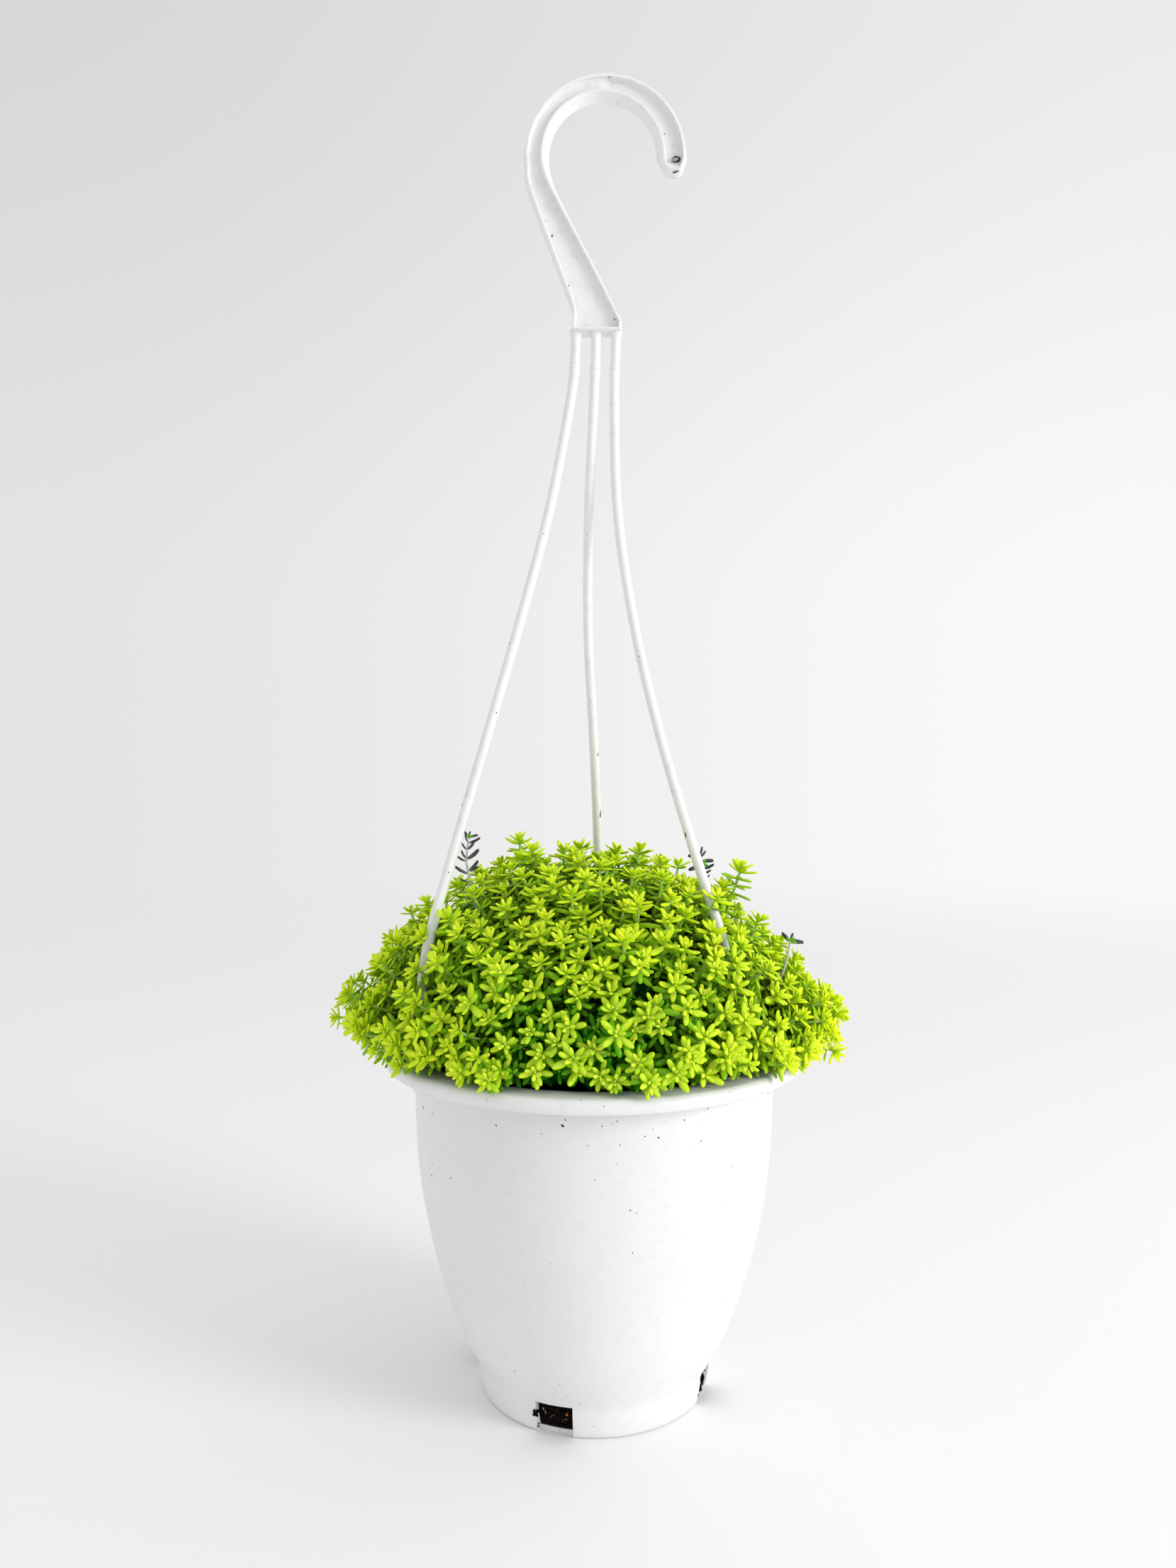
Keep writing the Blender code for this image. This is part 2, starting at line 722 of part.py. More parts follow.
def build_cushion(parts, cutters, green):
    bm = bmesh.new()
    bmesh.ops.create_uvsphere(bm, u_segments=20, v_segments=10, radius=1.0)
    bmesh.ops.scale(bm, vec=metres(*CORE_AXES), verts=bm.verts)
    draw = random.Random(SEED)
    for vert in bm.verts:
        vert.co *= 1.0 - draw.uniform(0.0, CORE_DIMPLE) / CORE_AXES[2]
    bmesh.ops.translate(bm, vec=metres(0.0, 0.0, CORE_AT_Z), verts=bm.verts)
    base = LIP_TOP + GAP
    cut = bmesh.ops.bisect_plane(
        bm,
        geom=[*bm.verts, *bm.edges, *bm.faces],
        plane_co=metres(0.0, 0.0, base),
        plane_no=(0.0, 0.0, -1.0),
        clear_outer=True,
    )
    rim = [edge for edge in cut["geom_cut"] if isinstance(edge, bmesh.types.BMEdge)]
    bmesh.ops.contextual_create(bm, geom=rim)
    cushion = from_bmesh("sedum_cushion", bm, parts, green)
    for name, (_, low, root, _) in DARK_SHOOTS.items():
        hole = tube(name + "_hole", [root, low], DARK_STEM_R + GAP, 1, cutters)
        make_helper(hole)
        add_boolean(cushion, "DIFFERENCE", hole)
    apply_modifiers(cushion)
    pieces = new_collection("cushion_pieces")
    middle = (0.0, 0.0)
    below = SOIL_TOP - ROOT_DEPTH
    cylinder("root_ball", ROOT_TOP_R, ROOT_BOTTOM_R, SOIL_TOP, below, middle, SOIL_STEPS, pieces)
    neck = (SOIL_TOP + ROOT_NECK_HALF, SOIL_TOP - ROOT_NECK_HALF)
    cylinder("root_neck", ROOT_NECK_R, ROOT_NECK_R, *neck, middle, SOIL_STEPS, pieces)
    rods = rods_through_cushion()
    place_rosettes(pieces, rods)
    place_tall_shoots(pieces, rods)
    fuse(cushion, pieces, "MANIFOLD")


def build_dark_shoots(parts, charcoal):
    for name, (tip, low, root, whorls) in DARK_SHOOTS.items():
        tip, low, root = Vector(tip), Vector(low), Vector(root)
        root = root.lerp(low, 0.02)
        shoot = tube(name, [root, low, tip], DARK_STEM_R, 1, parts)
        shoot.data.materials.append(charcoal)
        pieces = new_collection(name + "_pieces")
        up = (tip - low).normalized()
        for whorl in range(whorls):
            at = low.lerp(tip, whorl / (whorls - 1))
            reach = DARK_LEAF * (1.0 - 0.05 * whorl)
            rosette(f"{name}_{whorl}", at, up, 67.0 * whorl, reach, 3, at - up * 3.0, pieces)
        fuse(shoot, pieces)


def main():
    clear_scene()
    parts = new_collection("potted_stonecrop")
    cutters = new_collection("cutters", bpy.context.scene.collection)
    white = new_material("white_plastic", "#F2F2F0", 0.35)
    brown = new_material("potting_soil", "#2A1D14", 0.95)
    green = new_material("golden_green_leaf", "#8CC814", 0.45)
    charcoal = new_material("charcoal_leaf", "#3C3E40", 0.6)
    build_pot(parts, cutters, white)
    build_soil(parts, brown)
    build_hanger(parts, cutters, white)
    build_arms(parts, white)
    build_cushion(parts, cutters, green)
    build_dark_shoots(parts, charcoal)
    for obj in parts.objects:
        obj.data.shade_smooth()
        obj.data.set_sharp_from_angle(angle=math.radians(30.0))


main()
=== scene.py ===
"""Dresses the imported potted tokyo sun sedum: the finer pieces, their finishes and the studio.

Frame as in the CAD: metres, +Z up, the foot on z = 0, front towards -Y and right towards +X.
Pieces are sized in millimetres, which become metres through MM; the studio and the finishes are in metres.
"""

import math
import random

import bmesh
import bpy
from mathutils import Matrix, Vector, kdtree, noise


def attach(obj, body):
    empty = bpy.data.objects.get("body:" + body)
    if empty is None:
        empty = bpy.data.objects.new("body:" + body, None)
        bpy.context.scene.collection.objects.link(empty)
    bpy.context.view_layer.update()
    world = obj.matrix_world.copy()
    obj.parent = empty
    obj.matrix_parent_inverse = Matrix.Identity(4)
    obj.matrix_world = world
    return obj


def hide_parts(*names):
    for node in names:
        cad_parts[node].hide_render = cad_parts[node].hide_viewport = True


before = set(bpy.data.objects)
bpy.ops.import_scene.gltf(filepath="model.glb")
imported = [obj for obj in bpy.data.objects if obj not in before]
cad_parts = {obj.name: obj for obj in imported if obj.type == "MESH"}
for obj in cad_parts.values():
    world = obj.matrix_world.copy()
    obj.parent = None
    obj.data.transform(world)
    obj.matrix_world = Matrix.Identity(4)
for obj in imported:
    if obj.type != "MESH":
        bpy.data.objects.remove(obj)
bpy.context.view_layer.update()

# Studio: the pot stands on a white table in a bright white room, so the table has no visible far edge.
# The room is dimmer at the left, and one large soft lamp at the right front gives the shape its shade.
MM = 0.001
TABLE_WHITE = "#F5F5F5"
TABLE_SPAN = 6.0
TABLE_FADE = (0.45, 2.6)
LAMP_AT = (1.7, -0.9, 0.8)
LAMP_AIM = (0.0, 0.0, 0.2)
LAMP_SIZE = 0.8
LAMP_WATTS = 20.0
CAMERA_AT = (-0.0029, -0.5698, 0.3030)
CAMERA_TILT = 88.67
LENS = 27.03
FILM_HEIGHT = 36.0
# How bright the room is along an axis: the axis, two places on it and the brightness at each.
ROOM_GLOW = [
    ("X", -0.5, 0.45, 0.77, 0.95),
    ("X", -0.95, -0.55, 1.3, 1),
    ("Z", 0.1, 0.6, 1, 0.86),
    ("Y", -0.6, 0.2, 0.86, 1),
    ("Z", 0.6, 0.9, 1, 1.3),
]


def linear(hex_colour):
    """An sRGB hex colour as linear RGBA."""
    channels = [int(hex_colour[i : i + 2], 16) / 255 for i in (1, 3, 5)]
    return (*[c / 12.92 if c <= 0.04045 else ((c + 0.055) / 1.055) ** 2.4 for c in channels], 1.0)


def set_node(tree, node, parts):
    """Sets a shader node's properties, inputs and colour stops, and links it to other nodes or sockets."""
    for name, value in parts.items():
        if name == "stops":
            ramp = node.color_ramp.elements
            while len(ramp) < len(value):
                ramp.new(0.5)
            for stop, (position, colour) in zip(ramp, value):
                stop.position = position
                stop.color = linear(colour)
        elif isinstance(value, bpy.types.Node):
            tree.links.new(next(output for output in value.outputs if output.enabled), node.inputs[name])
        elif isinstance(value, bpy.types.NodeSocket):
            tree.links.new(value, node.inputs[name])
        elif isinstance(name, int) or name in node.inputs:
            node.inputs[name].default_value = value
        else:
            setattr(node, name, value)
    return node


def add_node(tree, kind, parts):
    """Adds a shader node with its properties, inputs, colour stops and links."""
    return set_node(tree, tree.nodes.new("ShaderNode" + kind), parts)


def new_surface(name, settings):
    """A material with one Principled shader, and the tree, shader and Object coordinates to build on."""
    material = bpy.data.materials.new(name)
    material.use_nodes = True
    tree = material.node_tree
    shader = set_node(tree, tree.nodes["Principled BSDF"], settings)
    return material, tree, shader, add_node(tree, "TexCoord", {}).outputs["Object"]


def shaded_smooth(mesh, crease):
    """Shades a mesh smooth, except over edges sharper than crease in degrees."""
    mesh.polygons.foreach_set("use_smooth", [True] * len(mesh.polygons))
    mesh.set_sharp_from_angle(angle=math.radians(crease))


def finished(name, bm, materials, crease=40.0):
    """Turns a bmesh into an object at the origin, smooth except over edges sharper than crease."""
    mesh = bpy.data.meshes.new(name)
    bm.to_mesh(mesh)
    bm.free()
    for material in materials:
        mesh.materials.append(material)
    shaded_smooth(mesh, crease)
    piece = bpy.data.objects.new(name, mesh)
    bpy.context.scene.collection.objects.link(piece)
    return piece


scene = bpy.context.scene
scene.view_settings.view_transform = "Standard"

eye = bpy.data.cameras.new("photo_view")
eye.sensor_fit = "VERTICAL"
eye.sensor_height = FILM_HEIGHT
eye.lens = LENS
eye.clip_start = 0.01
camera = bpy.data.objects.new("photo_view", eye)
camera.location = CAMERA_AT
camera.rotation_euler = (math.radians(CAMERA_TILT), 0.0, 0.0)
scene.collection.objects.link(camera)
scene.camera = camera

lamp = bpy.data.lights.new("soft_lamp", "AREA")
lamp.shape = "DISK"
lamp.size = LAMP_SIZE
lamp.energy = LAMP_WATTS
lamp_holder = bpy.data.objects.new("soft_lamp", lamp)
lamp_holder.location = LAMP_AT
lamp_holder.rotation_euler = (Vector(LAMP_AIM) - Vector(LAMP_AT)).to_track_quat("-Z", "Y").to_euler()
scene.collection.objects.link(lamp_holder)

room = bpy.data.worlds.new("white_room")
room.use_nodes = True
scene.world = room
sky = room.node_tree
direction = add_node(sky, "TexCoord", {}).outputs["Generated"]
sides = add_node(sky, "SeparateXYZ", {0: direction})
glow = 1.0
for axis, low, high, at_low, at_high in ROOM_GLOW:
    brightness = {"From Min": low, "From Max": high, "To Min": at_low, "To Max": at_high}
    wall = {"interpolation_type": "SMOOTHSTEP", "Value": sides.outputs[axis], **brightness}
    glow = add_node(sky, "Math", {"operation": "MULTIPLY", 0: glow, 1: add_node(sky, "MapRange", wall)})
set_node(sky, sky.nodes["Background"], {"Color": glow})

matt_white = {"Base Color": linear(TABLE_WHITE), "Roughness": 0.85}
paper, tree, shader, place = new_surface("matt_white_table", matt_white)
far = add_node(tree, "VectorMath", {"operation": "LENGTH", 0: place})
fade = {"From Min": TABLE_FADE[0], "From Max": TABLE_FADE[1], "To Min": 1.0, "To Max": 0.0, "Value": far}
set_node(tree, shader, {"Alpha": add_node(tree, "MapRange", {"interpolation_type": "SMOOTHSTEP", **fade})})
bm = bmesh.new()
bmesh.ops.create_circle(bm, cap_ends=True, segments=96, radius=TABLE_SPAN)
table = finished("table_top", bm, [paper])

# Pot: one injection moulding in white polypropylene, thin-walled, with a rolled lip, a short skirt under
# it and a foot. Four drain windows are moulded through the foot's wall, down to the edge of the floor.
POT_WHITE = "#EFEFEF"
POT_GREY = "#E8E8E8"
SOIL_SPECK = "#3A332C"
# The grey of the lip's inner edge: smudged soil and painted shade.
SMEAR_AND_SHADE_GREY = "#8E8E8C"
GRIME_GREY = "#B4B4B4"
POT_STEPS = 180
# Outlines are rows of radius and height, upwards.
BODY_OUTSIDE = [
    (57.8, 17.2),
    (65.4, 31.9),
    (73, 53.4),
    (80.1, 81.7),
    (84.4, 109.5),
    (85.9, 136.8),
    (86, 162.5),
]
BODY_SMOOTHING = 6
WALL = 2.0
FOOT_OUTSIDE = [
    (51.2, 0),
    (52.7, 0),
    (53.7, 0.3),
    (54.3, 0.9),
    (54.7, 3),
    (55.4, 6.5),
    (56, 10.1),
    (56.1, 13),
]
FOOT_INSIDE = [(51.2, 2.0), (51.4, 2.1), (51.6, 2.8), (52.1, 4.6), (52.8, 7.4), (53.3, 10.1), (53.5, 13.0)]
SHOULDER_OUTSIDE = [(56.7, 15.0), (56.2, 13.6)]
SHOULDER_INSIDE = [(54.0, 13.6), (54.6, 15.0)]
LIP_TOP = 164.5
LIP_OUTER_R = 100.0
LIP_INNER_R = 84.0
LIP_INNER_ROUND = 2.4
LIP_OUTER_ROUND = 3.2
LIP_THICK = 2.0
SKIRT_BOTTOM = 158.5
SKIRT_WALL = 1.8
SKIRT_OUTER_BEVEL = 0.4
SKIRT_INNER_BEVEL = 0.3
WINDOW_FIRST = -19.0
WINDOW_HALF = 9.0
WINDOW_TOP = 15.0
WINDOW_REACH = 14.0
LEDGE_SLACK = 0.05


def facing(degrees, radius, z):
    """A point in millimetres at an angle from the front, positive to the right."""
    angle = math.radians(degrees)
    return Vector((radius * math.sin(angle), -radius * math.cos(angle), z))


def smooth_curve(points, steps, run_on=1.0):
    """Points along a Catmull-Rom curve through the given ones, with `steps` to each stretch.

    Its ends leave straight where run_on is 1, and turn in where it is 0.
    """
    knots = [Vector(p) for p in points]
    lead_in = knots[0] + (knots[0] - knots[1]) * run_on
    lead_out = knots[-1] + (knots[-1] - knots[-2]) * run_on
    ends = [lead_in, *knots, lead_out]
    curve = []
    for before, start, end, after in zip(ends, ends[1:], ends[2:], ends[3:]):
        for step in range(steps):
            t = step / steps
            bend = (2 * before - 5 * start + 4 * end - after) * t * t
            twist = (3 * start - before - 3 * end + after) * t**3
            curve.append((2 * start + (end - before) * t + bend + twist) / 2)
    curve.append(knots[-1])
    return curve


def rounding(centre, radius, first, last, steps):
    """An arc of (r, z) points round a centre, from one angle to another in degrees."""
    angles = [math.radians(first + (last - first) * i / steps) for i in range(steps + 1)]
    return [(centre[0] + radius * math.cos(a), centre[1] + radius * math.sin(a)) for a in angles]


def spun(profile, steps, start=0.0):
    """A bmesh turned from an (r, z) profile whose ends lie on the axis."""
    bm = bmesh.new()
    verts = [bm.verts.new(facing(start, r, z) * MM) for r, z in profile]
    edges = [bm.edges.new(pair) for pair in zip(verts, verts[1:])]
    bmesh.ops.spin(bm, geom=[*verts, *edges], axis=(0, 0, 1), angle=math.tau, steps=steps, use_merge=True)
    bmesh.ops.remove_doubles(bm, verts=bm.verts, dist=0.001 * MM)
    bmesh.ops.recalc_face_normals(bm, faces=bm.faces)
    return bm


def white_plastic(name, specks_low, specks_high, grime):
    """Moulded polypropylene: satin white, faintly uneven in gloss, with specks of potting soil stuck to it.

    The share of cells with a speck goes from specks_low near the table to specks_high at the lip's height.
    Grime is how grey the handled patches get.
    """
    material, tree, shader, place = new_surface(name, {"Roughness": 0.36, "IOR": 1.49})
    drift = add_node(tree, "TexNoise", {"Scale": 9.0, "Detail": 3.0, "Vector": place})
    tone = add_node(tree, "ValToRGB", {"stops": [(0.3, POT_GREY), (0.7, POT_WHITE)], "Fac": drift})
    rubbed = add_node(tree, "TexNoise", {"Scale": 210.0, "Detail": 6.0, "Roughness": 0.7, "Vector": place})
    grimy = add_node(tree, "MapRange", {"From Min": 0.52, "From Max": 0.72, "To Max": grime, "Value": rubbed})
    handled = add_node(tree, "Mix", {"data_type": "RGBA", 0: grimy, 6: tone, 7: linear(GRIME_GREY)})
    # One cell is 3 mm; a speck is 0.2 to 0.7 mm across.
    bent = add_node(tree, "TexNoise", {"Scale": 900.0, "Detail": 1.0, "Vector": place}).outputs["Color"]
    nudge = {"operation": "MULTIPLY_ADD", 0: bent, 1: (0.0011, 0.0011, 0.0011), 2: place}
    cells = add_node(tree, "TexVoronoi", {"Scale": 333.0, "Vector": add_node(tree, "VectorMath", nudge)})
    chance = add_node(tree, "SeparateColor", {0: cells.outputs["Color"]}).outputs
    height = add_node(tree, "SeparateXYZ", {0: place}).outputs["Z"]
    crowding = {"From Min": 0.12, "From Max": 0.158, "To Min": specks_low, "To Max": specks_high}
    share = add_node(tree, "MapRange", {**crowding, "Value": height})
    chosen = add_node(tree, "Math", {"operation": "LESS_THAN", 0: chance["Red"], 1: share})
    width = add_node(tree, "MapRange", {"To Min": 0.04, "To Max": 0.15, "Value": chance["Green"]})
    inside = add_node(tree, "Math", {"operation": "LESS_THAN", 0: cells, 1: width})
    seen = add_node(tree, "Math", {"operation": "MULTIPLY", 0: chosen, 1: inside})
    strength = add_node(tree, "MapRange", {"To Min": 0.35, "Value": chance["Blue"]})
    speck = add_node(tree, "Math", {"operation": "MULTIPLY", 0: seen, 1: strength})
    specked = add_node(tree, "Mix", {"data_type": "RGBA", 0: speck, 6: handled, 7: linear(SOIL_SPECK)})
    # A grey band runs round the lip's inner edge, a few millimetres wide: partly smudges of soil, partly
    # painted shade where the inner roll lies under the foliage.
    flat = add_node(tree, "VectorMath", {"operation": "MULTIPLY", 0: place, 1: (1.0, 1.0, 0.0)})
    from_axis = add_node(tree, "VectorMath", {"operation": "LENGTH", 0: flat})
    near_edge = add_node(tree, "MapRange", {"From Min": 0.0895, "From Max": 0.0855, "Value": from_axis})
    on_top = add_node(tree, "Math", {"operation": "COMPARE", 0: height, 1: 0.163, 2: 0.0019})
    blotch = add_node(tree, "TexNoise", {"Scale": 130.0, "Detail": 5.0, "Roughness": 0.7, "Vector": place})
    edge_mottle = add_node(tree, "MapRange", {"From Min": 0.44, "From Max": 0.62, "To Max": 0.75, "Value": blotch})
    band = add_node(tree, "Math", {"operation": "MULTIPLY", 0: near_edge, 1: on_top})
    smear_and_shade = add_node(tree, "Math", {"operation": "MULTIPLY", 0: band, 1: edge_mottle})
    soiled_and_shaded = add_node(tree, "Mix", {"data_type": "RGBA", 0: smear_and_shade, 6: specked, 7: linear(SMEAR_AND_SHADE_GREY)})
    gloss = add_node(tree, "TexNoise", {"Scale": 60.0, "Detail": 4.0, "Vector": place})
    rough = add_node(tree, "MapRange", {"To Min": 0.28, "To Max": 0.46, "Value": gloss})
    # The mould's faint waviness, 12 mm from crest to crest, and its fine grain of 0.6 mm.
    wave = add_node(tree, "TexNoise", {"Scale": 80.0, "Detail": 2.0, "Vector": place})
    broad = add_node(tree, "Bump", {"Strength": 0.25, "Distance": 0.0002, "Height": wave})
    grain = add_node(tree, "TexNoise", {"Scale": 1600.0, "Detail": 2.0, "Vector": place})
    fine = add_node(tree, "Bump", {"Strength": 0.12, "Distance": 0.0001, "Height": grain, "Normal": broad})
    set_node(tree, shader, {"Base Color": soiled_and_shaded, "Roughness": rough, "Normal": fine})
    return material


body = [(p.x, p.y) for p in smooth_curve([(r, z, 0.0) for r, z in BODY_OUTSIDE], BODY_SMOOTHING)]
body_inside = [(r - WALL, z) for r, z in body[:-1]]
lip_under = LIP_TOP - LIP_THICK
inner_roll = rounding((LIP_INNER_R + LIP_INNER_ROUND, LIP_TOP - LIP_INNER_ROUND), LIP_INNER_ROUND, 180, 90, 5)
outer_roll = rounding((LIP_OUTER_R - LIP_OUTER_ROUND, LIP_TOP - LIP_OUTER_ROUND), LIP_OUTER_ROUND, 90, 0, 7)
inside_roll_r = LIP_OUTER_ROUND - SKIRT_WALL
under_roll = rounding((LIP_OUTER_R - LIP_OUTER_ROUND, lip_under - inside_roll_r), inside_roll_r, 0, 90, 4)
pot_profile = [
    (0, FOOT_INSIDE[0][1]),
    *FOOT_INSIDE,
    *SHOULDER_INSIDE,
    *body_inside,
    *inner_roll,
    *outer_roll,
    (LIP_OUTER_R, SKIRT_BOTTOM + SKIRT_OUTER_BEVEL),
    (LIP_OUTER_R - SKIRT_OUTER_BEVEL, SKIRT_BOTTOM),
    (LIP_OUTER_R - SKIRT_WALL + SKIRT_INNER_BEVEL, SKIRT_BOTTOM),
    (LIP_OUTER_R - SKIRT_WALL, SKIRT_BOTTOM + SKIRT_INNER_BEVEL),
    *under_roll,
    *body[::-1],
    *SHOULDER_OUTSIDE,
    *FOOT_OUTSIDE[::-1],
    (0, 0),
]
bm = spun(pot_profile, POT_STEPS, WINDOW_FIRST - WINDOW_HALF)
ledge = FOOT_OUTSIDE[0][0]


def in_window(face):
    """True for the faces of the foot's wall that one of the four windows takes away."""
    middle = face.calc_center_median() / MM
    angle = math.degrees(math.atan2(middle.x, -middle.y))
    from_window = (angle - WINDOW_FIRST + 45.0) % 90.0 - 45.0
    reaches = middle.xy.length > ledge - LEDGE_SLACK and middle.z < WINDOW_TOP
    return reaches and abs(from_window) < WINDOW_HALF


bmesh.ops.delete(bm, geom=[face for face in bm.faces if in_window(face)], context="FACES")
open_edges = [edge for edge in bm.edges if edge.is_boundary]
for quarter in range(4):
    at = facing(WINDOW_FIRST + 90.0 * quarter, ledge, 0.0) * MM
    mine = [e for e in open_edges if (e.verts[0].co.xy - at.xy).length < WINDOW_REACH * MM]
    bmesh.ops.bridge_loops(bm, edges=mine)
bmesh.ops.recalc_face_normals(bm, faces=bm.faces)
pot_plastic = white_plastic("injection_moulded_polypropylene", 0.05, 0.5, 0.12)
pot = finished("pot_body", bm, [pot_plastic], 50.0)
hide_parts("pot")
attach(pot, "root")

# Flecks of dry soil that stick to the pot's outside, the larger ones: each with its angle from the front,
# its height and its length.
FLECKS = [
    (-9, 150, 1.8),
    (-29, 147, 1.1),
    (18, 144, 1.2),
    (14, 145, 0.9),
    (26, 150, 1.1),
    (7, 142, 0.8),
    (-2, 142, 0.7),
    (10, 114, 1),
    (11, 95, 0.9),
    (-60, 114, 1.3),
    (-59, 120, 0.9),
    (-48, 118, 1.1),
    (-15, 146, 0.7),
    (2, 150, 0.8),
    (5, 151, 0.6),
    (34, 153, 0.9),
    (41, 153, 0.7),
    (-65, 143, 1.4),
    (-33, 31, 0.9),
]
FLECK_WIDTH = 0.6
FLECK_THICK = 0.3


def add_fleck(bm, at, angle, lean, size, material_index=0):
    """A flat scrap stuck to a wall that faces an angle from the front, leaning in its own plane."""
    made = bmesh.ops.create_icosphere(bm, subdivisions=2, radius=0.5 * MM)["verts"]
    for vert in made:
        vert.co *= 0.75 + 0.5 * abs(noise.noise(vert.co * 1700.0 + at))
    upright = Matrix.Rotation(math.radians(angle), 4, "Z") @ Matrix.Rotation(math.pi / 2, 4, "X")
    shape = Matrix.Rotation(math.radians(lean), 4, "Z") @ Matrix.Diagonal((*size, 1.0))
    bmesh.ops.transform(bm, matrix=Matrix.Translation(at * MM) @ upright @ shape, verts=made)
    for face in {face for vert in made for face in vert.link_faces}:
        face.material_index = material_index


def radius_at(z):
    """The body's outer radius at a height, in millimetres."""
    (r, low), (r_up, up) = next(stretch for stretch in zip(body, body[1:]) if z <= stretch[1][1])
    return r + (z - low) * (r_up - r) / (up - low)


def mottled(name, settings, grain, tones, relief=None):
    """A finish whose colour, and relief where it has any, follow the same noise."""
    material, tree, shader, place = new_surface(name, settings)
    patches = add_node(tree, "TexNoise", {**grain, "Vector": place})
    set_node(tree, shader, {"Base Color": add_node(tree, "ValToRGB", {"stops": tones, "Fac": patches})})
    if relief:
        set_node(tree, shader, {"Normal": add_node(tree, "Bump", {**relief, "Height": patches})})
    return material


draw = random.Random(23)
bm = bmesh.new()
for angle, z, length in FLECKS:
    size = (length, length * FLECK_WIDTH, length * FLECK_THICK)
    add_fleck(bm, facing(angle, radius_at(z), z), angle, draw.uniform(20.0, 140.0), size)
crust = {"Scale": 2200.0, "Detail": 3.0}
dry_soil = mottled("dry_soil_fleck", {"Roughness": 0.9}, crust, [(0.35, "#120F0C"), (0.7, "#38312A")])
flecks = finished("soil_flecks_on_pot", bm, [dry_soil])
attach(flecks, "root")

# Hanger: hook, shank and yoke moulded in one piece in the same plastic. A rib runs along each edge and
# a sunk web joins them, so each face is hollow; three short sockets at the yoke's foot take the arms.
HOOK_DEPTH = 12.0
HOOK_OUTER = ((5.35, 588.0), 38.0, 38.0)
HOOK_INNER = ((4.1, 588.0), 28.1, 29.5)
HOOK_ARC_END = 189.0
HOOK_ARC_STEPS = 54
# From this step of the arc on, the faces are hollowed a little less at first.
CROWN_STEP = 26
CROWN_HOLLOW = 0.6
CROWN_DEEPENING = 0.3
# Edges are an outer point, an inner point, the share of the depth and the share of the swelling.
TIP_EDGES = [
    ((39, 580.9), (38, 580.9), 0.3, 0),
    ((40.4, 581.3), (36.4, 581.3), 0.62, 0),
    ((41.7, 582.4), (34.6, 582.4), 0.85, 0.1),
    ((42.7, 584.3), (33.2, 584.2), 0.97, 0.3),
    ((43.2, 586.2), (32.4, 586.1), 1, 0.6),
]
TIP_HOLLOWS = (0.0, 0.0, 0.0, 0.5, 0.95)
SHANK_EDGES = [
    ((-31.4, 573.9), (-19.8, 573.2), 1, 0.8),
    ((-21.8, 547.3), (-6.1, 547.3), 1, 0.6),
    ((-14.1, 527.3), (4.4, 527.3), 1, 0.5),
    ((-10.4, 516.7), (10, 516), 1, 0.3),
    ((-10.4, 510), (13.1, 510), 1, 0.1),
]
YOKE_EDGES = [
    ((-10.4, 507.2), (12.9, 507.2), 1, 0.1),
    ((-10.4, 507), (12.9, 507), 1, 0.1),
    ((-10.1, 506.3), (12.6, 506.3), 0.96, 0.1),
    ((-9.4, 506), (12, 506), 0.88, 0),
]
SHANK_STEPS = 7
OUTER_BULGE = 1.0
INNER_BULGE = 2.4
RIB = 1.35
RIB_ROUND = 0.35
POCKET = 3.2
ARM_R = 2.35
ARM_TOP = 508.0
YOKE_BOTTOM = 506.0
JOINT_Z = 489.0
JOINT_GAP = 0.06
COLLAR = 0.3
ROD_SIDES = 6


def arc_point(ellipse, degrees):
    """A point on an ellipse, given as its centre, half width and half height."""
    (x, z), wide, tall = ellipse
    angle = math.radians(degrees)
    return (x + wide * math.cos(angle), z + tall * math.sin(angle))


def hook_section(outer, inner, depth_share, swell, hollow):
    """The rib, web, rib section of the hanger at one station, in millimetres."""
    outer = Vector((outer[0], 0.0, outer[1]))
    inner = Vector((inner[0], 0.0, inner[1]))
    width = (inner - outer).length
    way = (inner - outer) / width
    half = depth_share * HOOK_DEPTH / 2
    floor = half - POCKET * hollow
    rib = min(RIB, width * 0.3)

    def edge_half(bulge):
        """The section from one edge to near the middle: points inwards from the edge and out from the web."""
        return [
            (-bulge * swell, 0.0),
            (-bulge * swell * 0.4, half * 0.6),
            (0.0, half - RIB_ROUND),
            (RIB_ROUND * 0.3, half - RIB_ROUND * 0.3),
            (RIB_ROUND, half),
            (rib - RIB_ROUND * 0.6, half),
            (rib, half - RIB_ROUND * 0.6 * hollow),
            (rib + 0.15, floor + 0.5 * hollow),
            (rib + 0.65, floor),
        ]

    inner_half = [(width - u, v) for u, v in edge_half(INNER_BULGE)[::-1]]
    side = [*edge_half(OUTER_BULGE), (width / 2, floor), *inner_half]
    front = [outer + way * u - Vector((0.0, v, 0.0)) for u, v in side]
    back = [outer + way * u + Vector((0.0, v, 0.0)) for u, v in side[-2:0:-1]]
    return front + back


def skinned(rings):
    """A bmesh skinned over closed rings of points in millimetres, with flat ends."""
    bm = bmesh.new()
    loops = []
    for ring in rings:
        verts = [bm.verts.new(p * MM) for p in ring]
        loops.append([bm.edges.new(pair) for pair in zip(verts, [*verts[1:], verts[0]])])
    for first, second in zip(loops, loops[1:]):
        bmesh.ops.bridge_loops(bm, edges=first + second)
    for end in (loops[0], loops[-1]):
        bmesh.ops.contextual_create(bm, geom=end)
    bmesh.ops.recalc_face_normals(bm, faces=bm.faces)
    return bm


def joined(base, others):
    """Fuses closed pieces into the first one with a Boolean, and removes the others."""
    for other in others:
        join = base.modifiers.new("join", "BOOLEAN")
        join.operation = "UNION"
        join.solver = "EXACT"
        join.object = other
    bpy.context.view_layer.update()
    ready = base.evaluated_get(bpy.context.evaluated_depsgraph_get())
    mesh = bpy.data.meshes.new_from_object(ready)
    base.modifiers.clear()
    base.data = mesh
    shaded_smooth(mesh, 35.0)
    for other in others:
        bpy.data.objects.remove(other, do_unlink=True)


